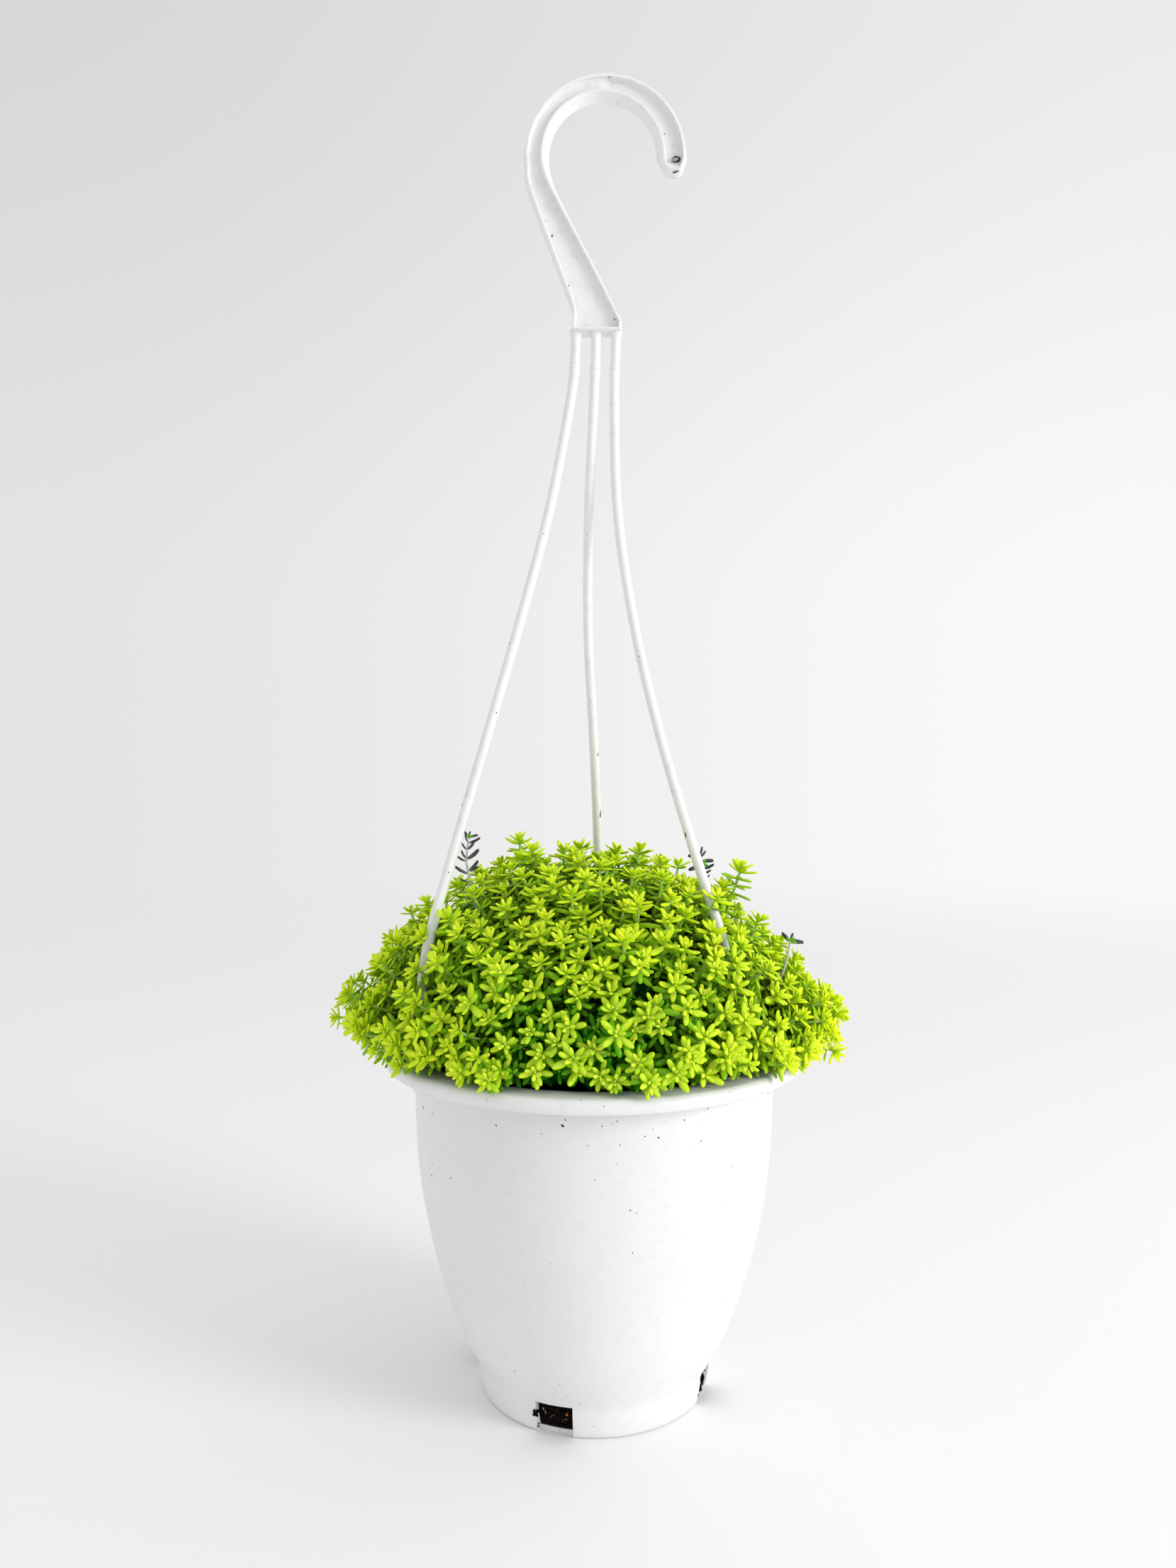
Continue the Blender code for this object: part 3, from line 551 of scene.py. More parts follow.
def tubes(lines, radii, sides):
    """A bmesh of round closed tubes along lines of points, with a radius at each point, in millimetres."""
    curve = bpy.data.curves.new("tubes", "CURVE")
    curve.dimensions = "3D"
    curve.bevel_depth = MM
    curve.bevel_resolution = sides
    curve.use_fill_caps = True
    for line, line_radii in zip(lines, radii):
        spline = curve.splines.new("POLY")
        spline.points.add(len(line) - 1)
        for knot, point, radius in zip(spline.points, line, line_radii):
            knot.co = (*(point * MM), 1.0)
            knot.radius = radius
    path = bpy.data.objects.new("tubes", curve)
    scene.collection.objects.link(path)
    bpy.context.view_layer.update()
    mesh = bpy.data.meshes.new_from_object(path.evaluated_get(bpy.context.evaluated_depsgraph_get()))
    bpy.data.objects.remove(path, do_unlink=True)
    bm = bmesh.new()
    bm.from_mesh(mesh)
    bpy.data.meshes.remove(mesh)
    bmesh.ops.remove_doubles(bm, verts=bm.verts, dist=0.002 * MM)
    bmesh.ops.recalc_face_normals(bm, faces=bm.faces)
    return bm


def ridge(point, z, height, spread):
    """How far a soft ridge round a rod, with its crest at z, stands out at a point of the rod."""
    return height * math.exp(-((point.z - z) ** 2) / spread)


arc_angles = [HOOK_ARC_END * i / HOOK_ARC_STEPS for i in range(HOOK_ARC_STEPS + 1)]
arc_edges = [(arc_point(HOOK_OUTER, a), arc_point(HOOK_INNER, a), 1.0, 1.0) for a in arc_angles]
shank_rows = [(*outer, *inner, depth, swell) for outer, inner, depth, swell in [arc_edges[-1], *SHANK_EDGES]]
shank_curve = smooth_curve(shank_rows, SHANK_STEPS, 0.0)[1:]
shank_edges = [((a, b), (c, d), depth, swell) for a, b, c, d, depth, swell in shank_curve]
# Each station along the hanger is its edges, and how deep its faces are hollowed from 0 to 1.
stations = list(zip(TIP_EDGES, TIP_HOLLOWS))
for number, edge in enumerate(arc_edges):
    past_crown = (number - CROWN_STEP) / (HOOK_ARC_STEPS - CROWN_STEP)
    stations.append((edge, 1.0 if past_crown < 0 else CROWN_HOLLOW + CROWN_DEEPENING * past_crown))
stations += [(edge, 1.0) for edge in [*shank_edges, YOKE_EDGES[0]]]
stations += [(edge, 0.0) for edge in YOKE_EDGES[1:]]
hanger_plastic = white_plastic("hanger_polypropylene", 0.06, 0.06, 0.28)
sections = [hook_section(*edge, hollow) for edge, hollow in stations]
hook = finished("hanger_and_hook", skinned(sections), [hanger_plastic])
# Each arm's middle line runs from inside the yoke to its foot, over a peg at an angle from the front.
PEG_CIRCLE = 90.5
PEG_ANGLES = {"left": -60.9, "right": 59.1, "back": 179.1}
ARM_BOTTOM = LIP_TOP + 3.3
ARM_KNOTS = {
    "left": [
        (-8.7, 0, 508),
        (-8.9, 0, 499),
        (-11.1, -1.3, 475),
        (-21.3, -7.5, 420),
        (-35.2, -15.9, 365),
        (-49.8, -24.7, 312),
        (-64.2, -33.4, 260),
        (-74.4, -39.6, 221.5),
        (-77.6, -42.6, 200),
        (-78.9, -43.9, 183),
    ],
    "right": [
        (10.4, 0, 508),
        (10.4, 0, 499),
        (9.7, 0.5, 476),
        (11.3, -0.6, 421),
        (19.1, -6.3, 366),
        (31.3, -15.1, 312),
        (46.2, -25.8, 259.5),
        (59.6, -35.5, 217),
        (70.5, -42, 187),
    ],
    "back": [
        (0.8, 0, 508),
        (0.8, 0, 499),
        (-0.1, 1.5, 475),
        (-2.6, 7.8, 420),
        (-2.9, 20.7, 366),
        (-0.1, 36.8, 312),
        (2, 54.3, 260),
        (2, 68.6, 219),
        (1.7, 81, 187),
    ],
}
ROUTE_STEPS = 14
feet = {side: facing(angle, PEG_CIRCLE, ARM_BOTTOM) for side, angle in PEG_ANGLES.items()}
routes = {side: smooth_curve([*knots, feet[side]], ROUTE_STEPS) for side, knots in ARM_KNOTS.items()}


def above_joint(route):
    """The part of an arm's middle line down to its joint with the socket."""
    kept = [point for point in route if point.z > JOINT_Z]
    below = next(point for point in route if point.z <= JOINT_Z)
    share = (kept[-1].z - JOINT_Z) / (kept[-1].z - below.z)
    return [*kept, kept[-1].lerp(below, share)]


stubs = []
for side, route in routes.items():
    stretch = above_joint(route)
    radii = [ARM_R + ridge(p, JOINT_Z, COLLAR, 3.0) for p in stretch]
    flares = [ridge(p, YOKE_BOTTOM, 0.9, 3.0) if p.z < ARM_TOP else 0.0 for p in stretch]
    radii = [radius + flare for radius, flare in zip(radii, flares)]
    stubs.append(finished("socket_" + side, tubes([stretch], [radii], ROD_SIDES), [hanger_plastic]))
joined(hook, stubs)
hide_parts("hanger_hook")
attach(hook, "root")

# Scraps that stick to the hanger: flecks of soil, and a grey flake in the hollow at the hook's tip.
# Each has its place, its lean, its length, height and thickness, and 1 where it is grey.
SCRAPS = [
    ((-19.9, -6, 549.8), 75, (1.7, 0.8, 0.4), 0),
    ((-12, -6, 526.4), 70, (1, 0.5, 0.3), 0),
    ((7.3, -6, 623.9), 0, (1.9, 0.8, 0.2), 1),
    ((33.5, -3, 599.1), 30, (0.7, 0.5, 0.3), 0),
    ((38.9, -4.2, 586.5), 8, (5, 3.3, 1.6), 0),
    ((38.4, -4.9, 586.1), 12, (3.4, 2, 0.8), 1),
    ((38.9, -3.6, 580.9), 20, (4.4, 0.6, 0.8), 0),
    ((36, -4.4, 582.4), 0, (0.8, 0.7, 0.3), 1),
    ((9.7, -3, 511.6), 60, (1.1, 0.6, 0.3), 0),
]
# Soil marks on the arms: the arm, the height, the place across it from -1 to 1, and the mark's length.
ARM_MARKS = [
    ("right", 268, -0.75, 3.6),
    ("right", 300, 0.5, 0.9),
    ("right", 352, -0.3, 0.7),
    ("back", 304, 0.8, 2.4),
    ("back", 273, 0.86, 7),
    ("back", 330, -0.2, 0.8),
    ("left", 250, 0.3, 0.9),
    ("left", 285, -0.5, 0.8),
    ("left", 322, 0.6, 1),
    ("left", 410, 0.1, 0.8),
]
bm = bmesh.new()
for at, lean, size, tone in SCRAPS:
    add_fleck(bm, Vector(at), 0.0, lean, size, tone)
for side, height, across_arm, length in ARM_MARKS:
    above, below = min(zip(routes[side], routes[side][1:]), key=lambda pair: abs(pair[0].z - height))
    lean = math.degrees(math.atan2(above.z - below.z, above.x - below.x))
    at = above + Vector((across_arm * ARM_R, -ARM_R * math.sqrt(1.0 - across_arm**2), 0.0))
    add_fleck(bm, at, 0.0, lean, (length, min(0.7, length * 0.6), 0.35))
grey_flake = new_surface("grey_flake", {"Roughness": 0.6, "Base Color": linear("#9C9C9A")})[0]
scraps = finished("scraps_on_hanger", bm, [dry_soil, grey_flake])
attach(scraps, "root")

# Arms: three moulded rods of the same plastic, pushed into the yoke's sockets. Each spreads into a small
# foot on the lip, with a peg through the lip and a blunt nib under it that snaps the arm in.
FOOT_BLOCK = (8.0, 6.0, 4.0)
FOOT_ROUND = 0.9
PEG_R = 2.0
NIB_R = 3.0
NIB_BOTTOM = 152.5
SEAM_Z = 470.0
FOOT_Z = LIP_TOP + 3.0
FOOT_GAP = 0.15
PEG_SHAPE = [
    (LIP_TOP + 1.5, PEG_R),
    (lip_under - 0.4, PEG_R),
    (lip_under - 0.6, NIB_R),
    (158, NIB_R),
    (NIB_BOTTOM + 1, PEG_R + 0.5),
    (NIB_BOTTOM + 0.3, PEG_R + 0.1),
    (NIB_BOTTOM, PEG_R - 0.6),
]
for side, route in routes.items():
    angle = PEG_ANGLES[side]
    joint = above_joint(route)[-1] - Vector((0.0, 0.0, JOINT_GAP))
    stretch = [joint, *[point for point in route if point.z < joint.z - 0.1]]
    radii = [
        ARM_R + ridge(p, JOINT_Z, COLLAR, 6.0) + ridge(p, SEAM_Z, 0.12, 1.5) + ridge(p, FOOT_Z, 0.8, 14.0)
        for p in stretch
    ]
    arm = finished("arm_of_hanger_" + side, tubes([stretch], [radii], ROD_SIDES), [hanger_plastic])
    bm = bmesh.new()
    bmesh.ops.create_cube(bm, size=1.0)
    bmesh.ops.scale(bm, vec=Vector(FOOT_BLOCK) * MM, verts=bm.verts)
    bmesh.ops.bevel(bm, geom=bm.edges, offset=FOOT_ROUND * MM, segments=3, profile=0.5, affect="EDGES")
    spot = facing(angle, PEG_CIRCLE, LIP_TOP + FOOT_GAP + FOOT_BLOCK[2] / 2) * MM
    stand = Matrix.Translation(spot) @ Matrix.Rotation(math.radians(angle), 4, "Z")
    bmesh.ops.transform(bm, matrix=stand, verts=bm.verts)
    block = finished("foot_" + side, bm, [hanger_plastic])
    axis = [facing(angle, PEG_CIRCLE, z) for z, radius in PEG_SHAPE]
    pin = tubes([axis], [[radius for z, radius in PEG_SHAPE]], ROD_SIDES)
    joined(arm, [block, finished("peg_" + side, pin, [hanger_plastic])])
    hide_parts("arm_" + side)
    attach(arm, "root")

# Potting soil: moist dark peat with bark and a few pale bits, filling the pot to just under the lip.
# It is loose, so its top is a heap of crumbs, and crumbs bulge out of the drain windows in the foot.
SOIL_TONES = [(0.35, "#040302"), (0.64, "#130D08"), (0.8, "#6A3810")]
SOIL_TOP = 161.0
SOIL_STEPS = 96
SOIL_GAP = 0.35
CORE_R = 60.0
TOP_CRUMBS = 420
TOP_CRUMB_SIZES = (0.7, 2.0)
TOP_CRUMB_R = 82.0
TOP_LIMIT_R = 83.4
# The crumbs in a window follow the wall's slope: their radii are those of the lowest.
WINDOW_CRUMBS = 46
WINDOW_CRUMB_HEIGHTS = (3.2, 12.2)
WINDOW_CRUMB_RADII = (51.3, 51.9)
WINDOW_CRUMB_SLOPE = 0.16
WINDOW_MARGIN = 1.2
BULGE_CRUMBS = 60
BULGE_ANGLES = (63.8, 74.0)
BULGE_HEIGHTS = (2.8, 13.6)
BULGE_RADII = (53.3, 53.9)
BULGE_SLOPE = 0.12
# A clump hangs out over the front window's left jamb, and some crumbs lie in the corner under it: how many,
# the box they lie in and their sizes.
CLUMPS = [
    (40, [(-27.4, -25), (-49.6, -49), (7.7, 10.7)], (0.35, 0.95)),
    (12, [(-25.5, -24.5), (-49.2, -48.8), (2.2, 4.4)], (0.3, 0.5)),
]
draw = random.Random(5)
soil_finish = mottled(
    "moist_peat_and_bark",
    {"Roughness": 0.75, "IOR": 1.4, "Specular IOR Level": 0.08},
    {"Scale": 420.0, "Detail": 5.0, "Roughness": 0.65},
    SOIL_TONES,
    {"Strength": 0.8, "Distance": 0.0006},
)
soil_profile = [
    *[(r, SOIL_TOP) for r in (0.0, 40.0, CORE_R, 70.0, 76.0, 80.0)],
    (LIP_INNER_R - SOIL_GAP - 0.4, SOIL_TOP - 0.6),
    *[(r - SOIL_GAP, z) for r, z in body_inside[::-3]],
    *[(r - SOIL_GAP, z) for r, z in FOOT_INSIDE[:1:-1]],
    (50.9, 2.3),
    (0, 2.3),
]
bm = spun(soil_profile, SOIL_STEPS)
for vert in bm.verts:
    if vert.co.z > (SOIL_TOP - 0.2) * MM:
        vert.co.z += noise.noise(vert.co * 90.0) * 1.6 * MM


def add_crumb(bm, at, size, turn):
    """One lump of soil: a squashed ball of twenty faces with its corners pushed about."""
    made = bmesh.ops.create_icosphere(bm, subdivisions=1, radius=size * MM)["verts"]
    for vert in made:
        vert.co *= 0.7 + 0.6 * abs(noise.noise(vert.co * 900.0 + at))
    squash = Matrix.Diagonal((1.0, draw.uniform(0.5, 1.0), draw.uniform(0.4, 0.9), 1.0))
    tumble = Matrix.Rotation(turn, 4, Vector([draw.uniform(-1.0, 1.0) for _ in range(3)]))
    bmesh.ops.transform(bm, matrix=Matrix.Translation(at * MM) @ tumble @ squash, verts=made)


for _ in range(TOP_CRUMBS):
    radius = math.sqrt(draw.uniform(CORE_R**2, TOP_CRUMB_R**2))
    at = facing(draw.uniform(0.0, 360.0), radius, SOIL_TOP + draw.uniform(-0.4, 0.8))
    size = min(draw.uniform(*TOP_CRUMB_SIZES), TOP_LIMIT_R - radius)
    add_crumb(bm, at, size, draw.uniform(0.0, 6.0))
spread = WINDOW_HALF - WINDOW_MARGIN
for quarter in range(4):
    for _ in range(WINDOW_CRUMBS):
        height = draw.uniform(*WINDOW_CRUMB_HEIGHTS)
        size = draw.uniform(0.5, 1.3)
        angle = WINDOW_FIRST + 90.0 * quarter + draw.uniform(-spread, spread)
        leaning = WINDOW_CRUMB_SLOPE * (height - WINDOW_CRUMB_HEIGHTS[0])
        at = facing(angle, draw.uniform(*WINDOW_CRUMB_RADII) + leaning, height)
        add_crumb(bm, at, size, draw.uniform(0.0, 6.0))
for count, box, sizes in CLUMPS:
    for _ in range(count):
        at = Vector([draw.uniform(*span) for span in box])
        add_crumb(bm, at, draw.uniform(*sizes), draw.uniform(0.0, 6.0))
# In the right-hand window the soil bulges out to just behind the wall.
for _ in range(BULGE_CRUMBS):
    height = draw.uniform(*BULGE_HEIGHTS)
    leaning = BULGE_SLOPE * (height - BULGE_HEIGHTS[0])
    at = facing(draw.uniform(*BULGE_ANGLES), draw.uniform(*BULGE_RADII) + leaning, height)
    add_crumb(bm, at, draw.uniform(0.6, 1.1), draw.uniform(0.0, 6.0))
soil = finished("potting_soil", bm, [soil_finish])
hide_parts("soil")
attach(soil, "root")

# Bark chips and straw in the soil at the front window, the bits that catch the light there.
# Each has its angle from the front, its radius and height, its lean, its three sizes, and its finish.
CHIPS = [
    (-13.4, 53, 9.7, 80, (1.7, 1.3, 0.8), 0),
    (-25.6, 53.1, 10.4, 100, (1.7, 0.8, 0.6), 1),
    (-24.5, 52.9, 8.9, 115, (2, 0.7, 0.5), 1),
    (-22.2, 53.3, 13, 10, (1.8, 0.7, 0.5), 2),
    (-15.6, 52.4, 6.3, 60, (2.1, 0.5, 0.4), 2),
    (-14, 52.5, 7.2, 40, (1.2, 0.5, 0.4), 0),
    (-21.4, 52.6, 7.6, 140, (0.8, 0.4, 0.3), 3),
    (-20.2, 52.7, 8.2, 20, (0.7, 0.5, 0.3), 3),
    (-21.8, 52.4, 6.6, 5, (1.4, 0.4, 0.3), 3),
    (-18.4, 53.1, 11, 60, (0.8, 0.5, 0.3), 2),
]
CHIP_TONES = {
    "orange_bark": "#D07C1C",
    "straw": "#C39B58",
    "grey_brown_bark": "#4A463A",
    "pale_grit": "#8C8A86",
}
bm = bmesh.new()
for angle, radius, z, lean, size, tone in CHIPS:
    add_fleck(bm, facing(angle, radius, z), angle, lean, size, tone)
chip_finishes = []
for name, tone in CHIP_TONES.items():
    chip_finish, tree, shader, place = new_surface(name, {"Roughness": 0.7})
    veins = add_node(tree, "TexNoise", {"Scale": 1800.0, "Detail": 3.0, "Vector": place}).outputs["Color"]
    veined = {"data_type": "RGBA", "blend_type": "MULTIPLY", 0: 0.6, 6: linear(tone), 7: veins}
    set_node(tree, shader, {"Base Color": add_node(tree, "Mix", veined)})
    chip_finishes.append(chip_finish)
chips = finished("chips_in_soil", bm, chip_finishes)
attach(chips, "root")

# Sedum: hundreds of upright shoots that crowd into a dome, each a pale green stem with whorls of blunt
# fleshy leaves. Young leaves at the tip are golden and make a star; the shaded ones below are deep green.
DOME_AT = Vector((-1.0, 0.0, 172.0))
DOME_AXES = (118.6, 96.0, 86.0)
DOME_POWER = 1.8
DOME_LOW = -0.06
DENT_AT = Vector((80.0, -5.0, 50.0))
DENT_NARROWING = Vector((1.0, 0.4, 1.0))
DENT_WIDTH = 24.0
DENT_SHARE = 0.1
OVERHANG_R = 106.0
OVERHANG_RISE = 0.9
CORE_SHARE = 0.62
SIZE_SPREAD = (0.84, 1.16)
LIGHT_PULL = 0.3
# Each whorl: how far below the tip it sits, its leaves, their rise from the level, length and kind.
SUNLIT = [
    (0, 2, 60, 3, "bud"),
    (0.3, 3, 42, 4.8, "young"),
    (1, 3, 29, 6.4, "star"),
    (1.9, 4, 12, 7.5, "star"),
    (6.6, 4, 12, 7.6, "full"),
    (11, 4, 4, 8, "old"),
    (15.5, 3, -4, 8, "shaded"),
]
LEGGY = [
    (0, 2, 64, 2.8, "bud"),
    (0.5, 4, 44, 4.4, "young"),
    (1.6, 4, 28, 6.6, "star"),
    (3.6, 4, 12, 7.6, "star"),
    (9.5, 4, 10, 8.2, "full"),
    (16.5, 3, 0, 8.4, "old"),
]
STANDING = [
    (0, 3, 66, 2.8, "bud"),
    (0.4, 4, 52, 4.6, "young"),
    (1.2, 5, 36, 6.8, "star"),
    (3, 6, 18, 8.2, "star"),
    (6.4, 6, 8, 8.8, "full"),
    (10, 6, 2, 8.8, "full"),
    (14, 5, -4, 8.6, "old"),
    (18.5, 4, -6, 8.6, "old"),
]
SHELTERED = [
    (0, 3, 54, 5, "full"),
    (1.6, 5, 24, 8, "old"),
    (6, 4, 10, 8.8, "shaded"),
    (11, 4, 0, 8.8, "shaded"),
]
# Each layer of shoots: how many, how far they stand proud of the dome at least and at most, their whorls,
# and a shift that lets the layers fill each other's gaps.
LAYERS = [(460, -6.0, 3.5, SUNLIT, 0.0), (460, -14.0, -8.0, SHELTERED, 0.5)]
LEGGY_SHARE = 0.35
RIM_SHOOTS = 84
RIM_LEVELS = (-0.04, 0.12)
RIM_STRAYING = 0.3
MISSING_LEAF = 0.3
LEVEL_JITTER = 0.014
ANGLE_JITTER = 0.05
LEAN_JITTER = 0.26
WHORL_JITTER = 0.15
LEAF_TURN_JITTER = 0.2
LEAF_RISE_JITTER = 11.0
LEAF_LENGTHS = (0.82, 1.12)
# A leaf that would touch an arm or the lip is raised and shortened, up to so many times, and then left out.
TRIES = 7
RAISE = 14.0
SHORTEN = 0.95
LEAF_ROOM = 1.1
STEM_R = 1.0
STEM_SIDES = 1
STEM_STEPS = 9
TOP_LEVEL = 0.8
# Each kind of leaf: its age from 0 to 1, width and thickness as shares of the length, curl, and detail.
LEAF_KINDS = {
    "bud": (0.0, 0.38, 0.26, 0.10, (6, 4)),
    "young": (0.16, 0.34, 0.19, 0.08, (6, 5)),
    "star": (0.34, 0.315, 0.15, 0.06, (6, 6)),
    "full": (0.66, 0.30, 0.14, 0.0, (6, 5)),
    "old": (0.82, 0.29, 0.13, -0.08, (6, 5)),
    "shaded": (1.0, 0.28, 0.12, -0.12, (6, 4)),
}
# A leaf's outline: places along it from its base, with the share of the full width there.
LEAF_WIDTHS = [
    (0, 0),
    (0.09, 0.52),
    (0.33, 0.86),
    (0.55, 1),
    (0.72, 0.96),
    (0.84, 0.82),
    (0.92, 0.66),
    (0.97, 0.46),
    (1, 0),
]
TIP_CROWDING = 1.3
# A six-sided section is this much narrower than its circle, sideways.
SECTION_WIDTH = 0.87
TINTS = 5


def spread_between(table, at):
    """The value of a table of (position, value) rows at a position."""
    for (low, below), (high, above) in zip(table, table[1:]):
        if at <= high:
            return below + (above - below) * (at - low) / (high - low)
    return table[-1][1]


def leaf_mesh(name, age, width, thickness, curl, detail, tint):
    """A blunt, plump leaf of unit length along +X, with its upper face to +Z.

    The attribute leaf holds, for each point: along, underside to upper face, age and the leaf's own tint.
    """
    bm = bmesh.new()
    bmesh.ops.create_uvsphere(bm, u_segments=detail[0], v_segments=detail[1], radius=1.0)
    layer = bm.verts.layers.float_color.new("leaf")
    for vert in bm.verts:
        along = 1.0 - ((1.0 - vert.co.z) / 2.0) ** TIP_CROWDING
        ring = math.hypot(vert.co.x, vert.co.y) or 1.0
        rise, cross = vert.co.x / ring, vert.co.y / ring / SECTION_WIDTH
        fullness = spread_between(LEAF_WIDTHS, along)
        if abs(vert.co.z) > 0.999:
            cross, rise = 0.0, 0.0
        lift = curl * along * along
        vert[layer] = (along, (rise + 1.0) / 2.0, age, tint)
        vert.co = (along, cross * fullness * width / 2, rise * fullness**0.6 * thickness / 2 + lift)
    mesh = bpy.data.meshes.new(name)
    bmesh.ops.recalc_face_normals(bm, faces=bm.faces)
    bm.to_mesh(mesh)
    bm.free()
    return mesh


leaf_meshes = {
    kind: [leaf_mesh(f"leaf_{kind}_{i}", *settings, i / (TINTS - 1)) for i in range(TINTS)]
    for kind, settings in LEAF_KINDS.items()
}

arm_spans = [span for route in routes.values() for span in zip(route, route[1:])]
arm_line = [start.lerp(end, third / 3) for start, end in arm_spans for third in range(3)]
arm_points = kdtree.KDTree(len(arm_line))
for number, point in enumerate(arm_line):
    arm_points.insert(point, number)
arm_points.balance()


def blocked(point, room):
    """True where a point in millimetres would lie in an arm or in the pot's lip, or closer than room."""
    if arm_points.find(point)[2] < ARM_R + room:
        return True
    radius = point.xy.length
    return LIP_INNER_R - 1.0 < radius < LIP_OUTER_R + room and SKIRT_BOTTOM - room < point.z < LIP_TOP + room


def leaf_matrix(at, basis, around, rise, length):
    """Places a unit leaf: turned round the shoot's axis, raised from the level, and sized."""
    turn = Matrix.Rotation(around, 4, "Z") @ Matrix.Rotation(-rise, 4, "Y")
    return Matrix.Translation(at) @ basis.to_4x4() @ turn @ Matrix.Scale(length, 4)


def stem_curve(tip, axis, root, steps):
    """Points from the tip down to the root, leaving the tip straight along the axis."""
    bend = tip - axis * min(26.0, (tip - root).length * 0.6)
    shares = [step / steps for step in range(steps + 1)]
    return [tip * (1 - t) ** 2 + bend * 2 * t * (1 - t) + root * t * t for t in shares]


def point_along(points, distance):
    """The point and downward direction at a distance along a line of points."""
    for start, end in zip(points, points[1:]):
        length = (end - start).length
        if distance <= length:
            return start + (end - start) * distance / length, (end - start) / length
        distance -= length
    return points[-1], (points[-1] - points[-2]).normalized()


def grow_shoot(draw, tip, axis, root, size, whorls, leaves, stems):
    """Adds one shoot's leaves, as (kind, tint, matrix), and its stem's points to the two lists."""
    line = stem_curve(tip, axis, root, STEM_STEPS)
    stems.append(line)
    tint = draw.random()
    turn = draw.uniform(0.0, math.tau)
    for below, count, rise, length, kind in whorls:
        count -= count > 3 and draw.random() < MISSING_LEAF
        at, down = point_along(line, below * size)
        basis = (-down).to_track_quat("Z", "X").to_matrix()
        turn += math.pi / count + draw.uniform(-WHORL_JITTER, WHORL_JITTER)
        for leaf in range(count):
            around = turn + math.tau * leaf / count + draw.uniform(-LEAF_TURN_JITTER, LEAF_TURN_JITTER)
            lift = math.radians(rise + draw.uniform(-LEAF_RISE_JITTER, LEAF_RISE_JITTER))
            reach = length * size * draw.uniform(*LEAF_LENGTHS)
            for _ in range(TRIES):
                matrix = leaf_matrix(at, basis, around, lift, reach)
                if not any(blocked(matrix @ Vector((t, 0.0, 0.0)), LEAF_ROOM) for t in (0.35, 0.7, 1.0)):
                    shade = min(TINTS - 1, int(TINTS * (tint * 0.7 + draw.random() * 0.3)))
                    leaves.append((kind, shade, matrix))
                    break
                lift += math.radians(RAISE)
                reach *= SHORTEN


def dome_point(way):
    """The dome's surface and its normal along a direction on the unit sphere."""
    fullness = (math.hypot(way[0], way[1]) ** DOME_POWER + abs(way[2]) ** DOME_POWER) ** (-1.0 / DOME_POWER)
    local = Vector([d * axis * fullness for d, axis in zip(way, DOME_AXES)])
    from_dent = ((local - DENT_AT) * DENT_NARROWING).length / DENT_WIDTH
    local *= 1.0 - DENT_SHARE * math.exp(-from_dent * from_dent / 2)
    return DOME_AT + local, Vector([d / axis for d, axis in zip(way, DOME_AXES)]).normalized()


LEAF_AGES = [
    (0, "#ECFC3C"),
    (0.18, "#DAF41C"),
    (0.34, "#C6EA08"),
    (0.66, "#68BC00"),
    (0.82, "#308E00"),
    (1, "#106800"),
]
# Leaf bases are darker and greener: partly the leaves' own greener base, partly painted shade near the stem.
BASE_SHADE_TO_TIP = [(0.0, "#A0C474"), (0.3, "#DCECC4"), (0.65, "#FFFFFF"), (1.0, "#F4F8E8")]
# Painted shade: the underside and the flanks darker and greener than the upper face.
UNDER_TO_UPPER_SHADE = [(0.0, "#74AC58"), (0.3, "#98C470"), (0.6, "#D0EAA8"), (0.8, "#FFFFFF")]
# The light stripe along the middle of the upper face: partly the leaf's waxen midrib, partly a painted
# highlight.
PALE_RIDGE_AND_HIGHLIGHT = [(0.78, "#000000"), (0.9, "#242424"), (1.0, "#F4F4F4")]
WAX_AND_HIGHLIGHT_YELLOW = "#FAFF90"
# How strongly painted light makes young leaves lighter and yellower, in grey, from the left side of the plant
# to the right.
SIDE_LIGHT_PAINTING = [
    (0, "#E0E0E0"),
    (0.2, "#CCCCCC"),
    (0.4, "#101010"),
    (0.52, "#000000"),
    (0.75, "#A8A8A8"),
    (0.95, "#E4E4E4"),
]
PAINTED_LIGHT_TONES = [(0.2, "#DCF224"), (0.75, "#EAFA24")]
STEM_TONES = [(0.3, "#8FC038"), (0.6, "#B4D668"), (0.8, "#D2E6A0")]
flesh = {
    "Roughness": 0.3,
    "IOR": 1.4,
    "Specular IOR Level": 0.08,
    "Subsurface Weight": 0.18,
    "Subsurface Radius": (0.7, 1.0, 0.2),
    "Subsurface Scale": 0.0015,
}
leaf_flesh, tree, shader, place = new_surface("golden_stonecrop_leaf", flesh)
facts = add_node(tree, "Attribute", {"attribute_name": "leaf"}).outputs
parts = add_node(tree, "SeparateColor", {0: facts["Color"]}).outputs
ageing = add_node(tree, "ValToRGB", {"stops": LEAF_AGES, "Fac": parts["Blue"]})
base_shade = add_node(tree, "ValToRGB", {"stops": BASE_SHADE_TO_TIP, "Fac": parts["Red"]})
multiplied = {"data_type": "RGBA", "blend_type": "MULTIPLY"}
body_tone = add_node(tree, "Mix", {**multiplied, 0: 1.0, 6: ageing, 7: base_shade})
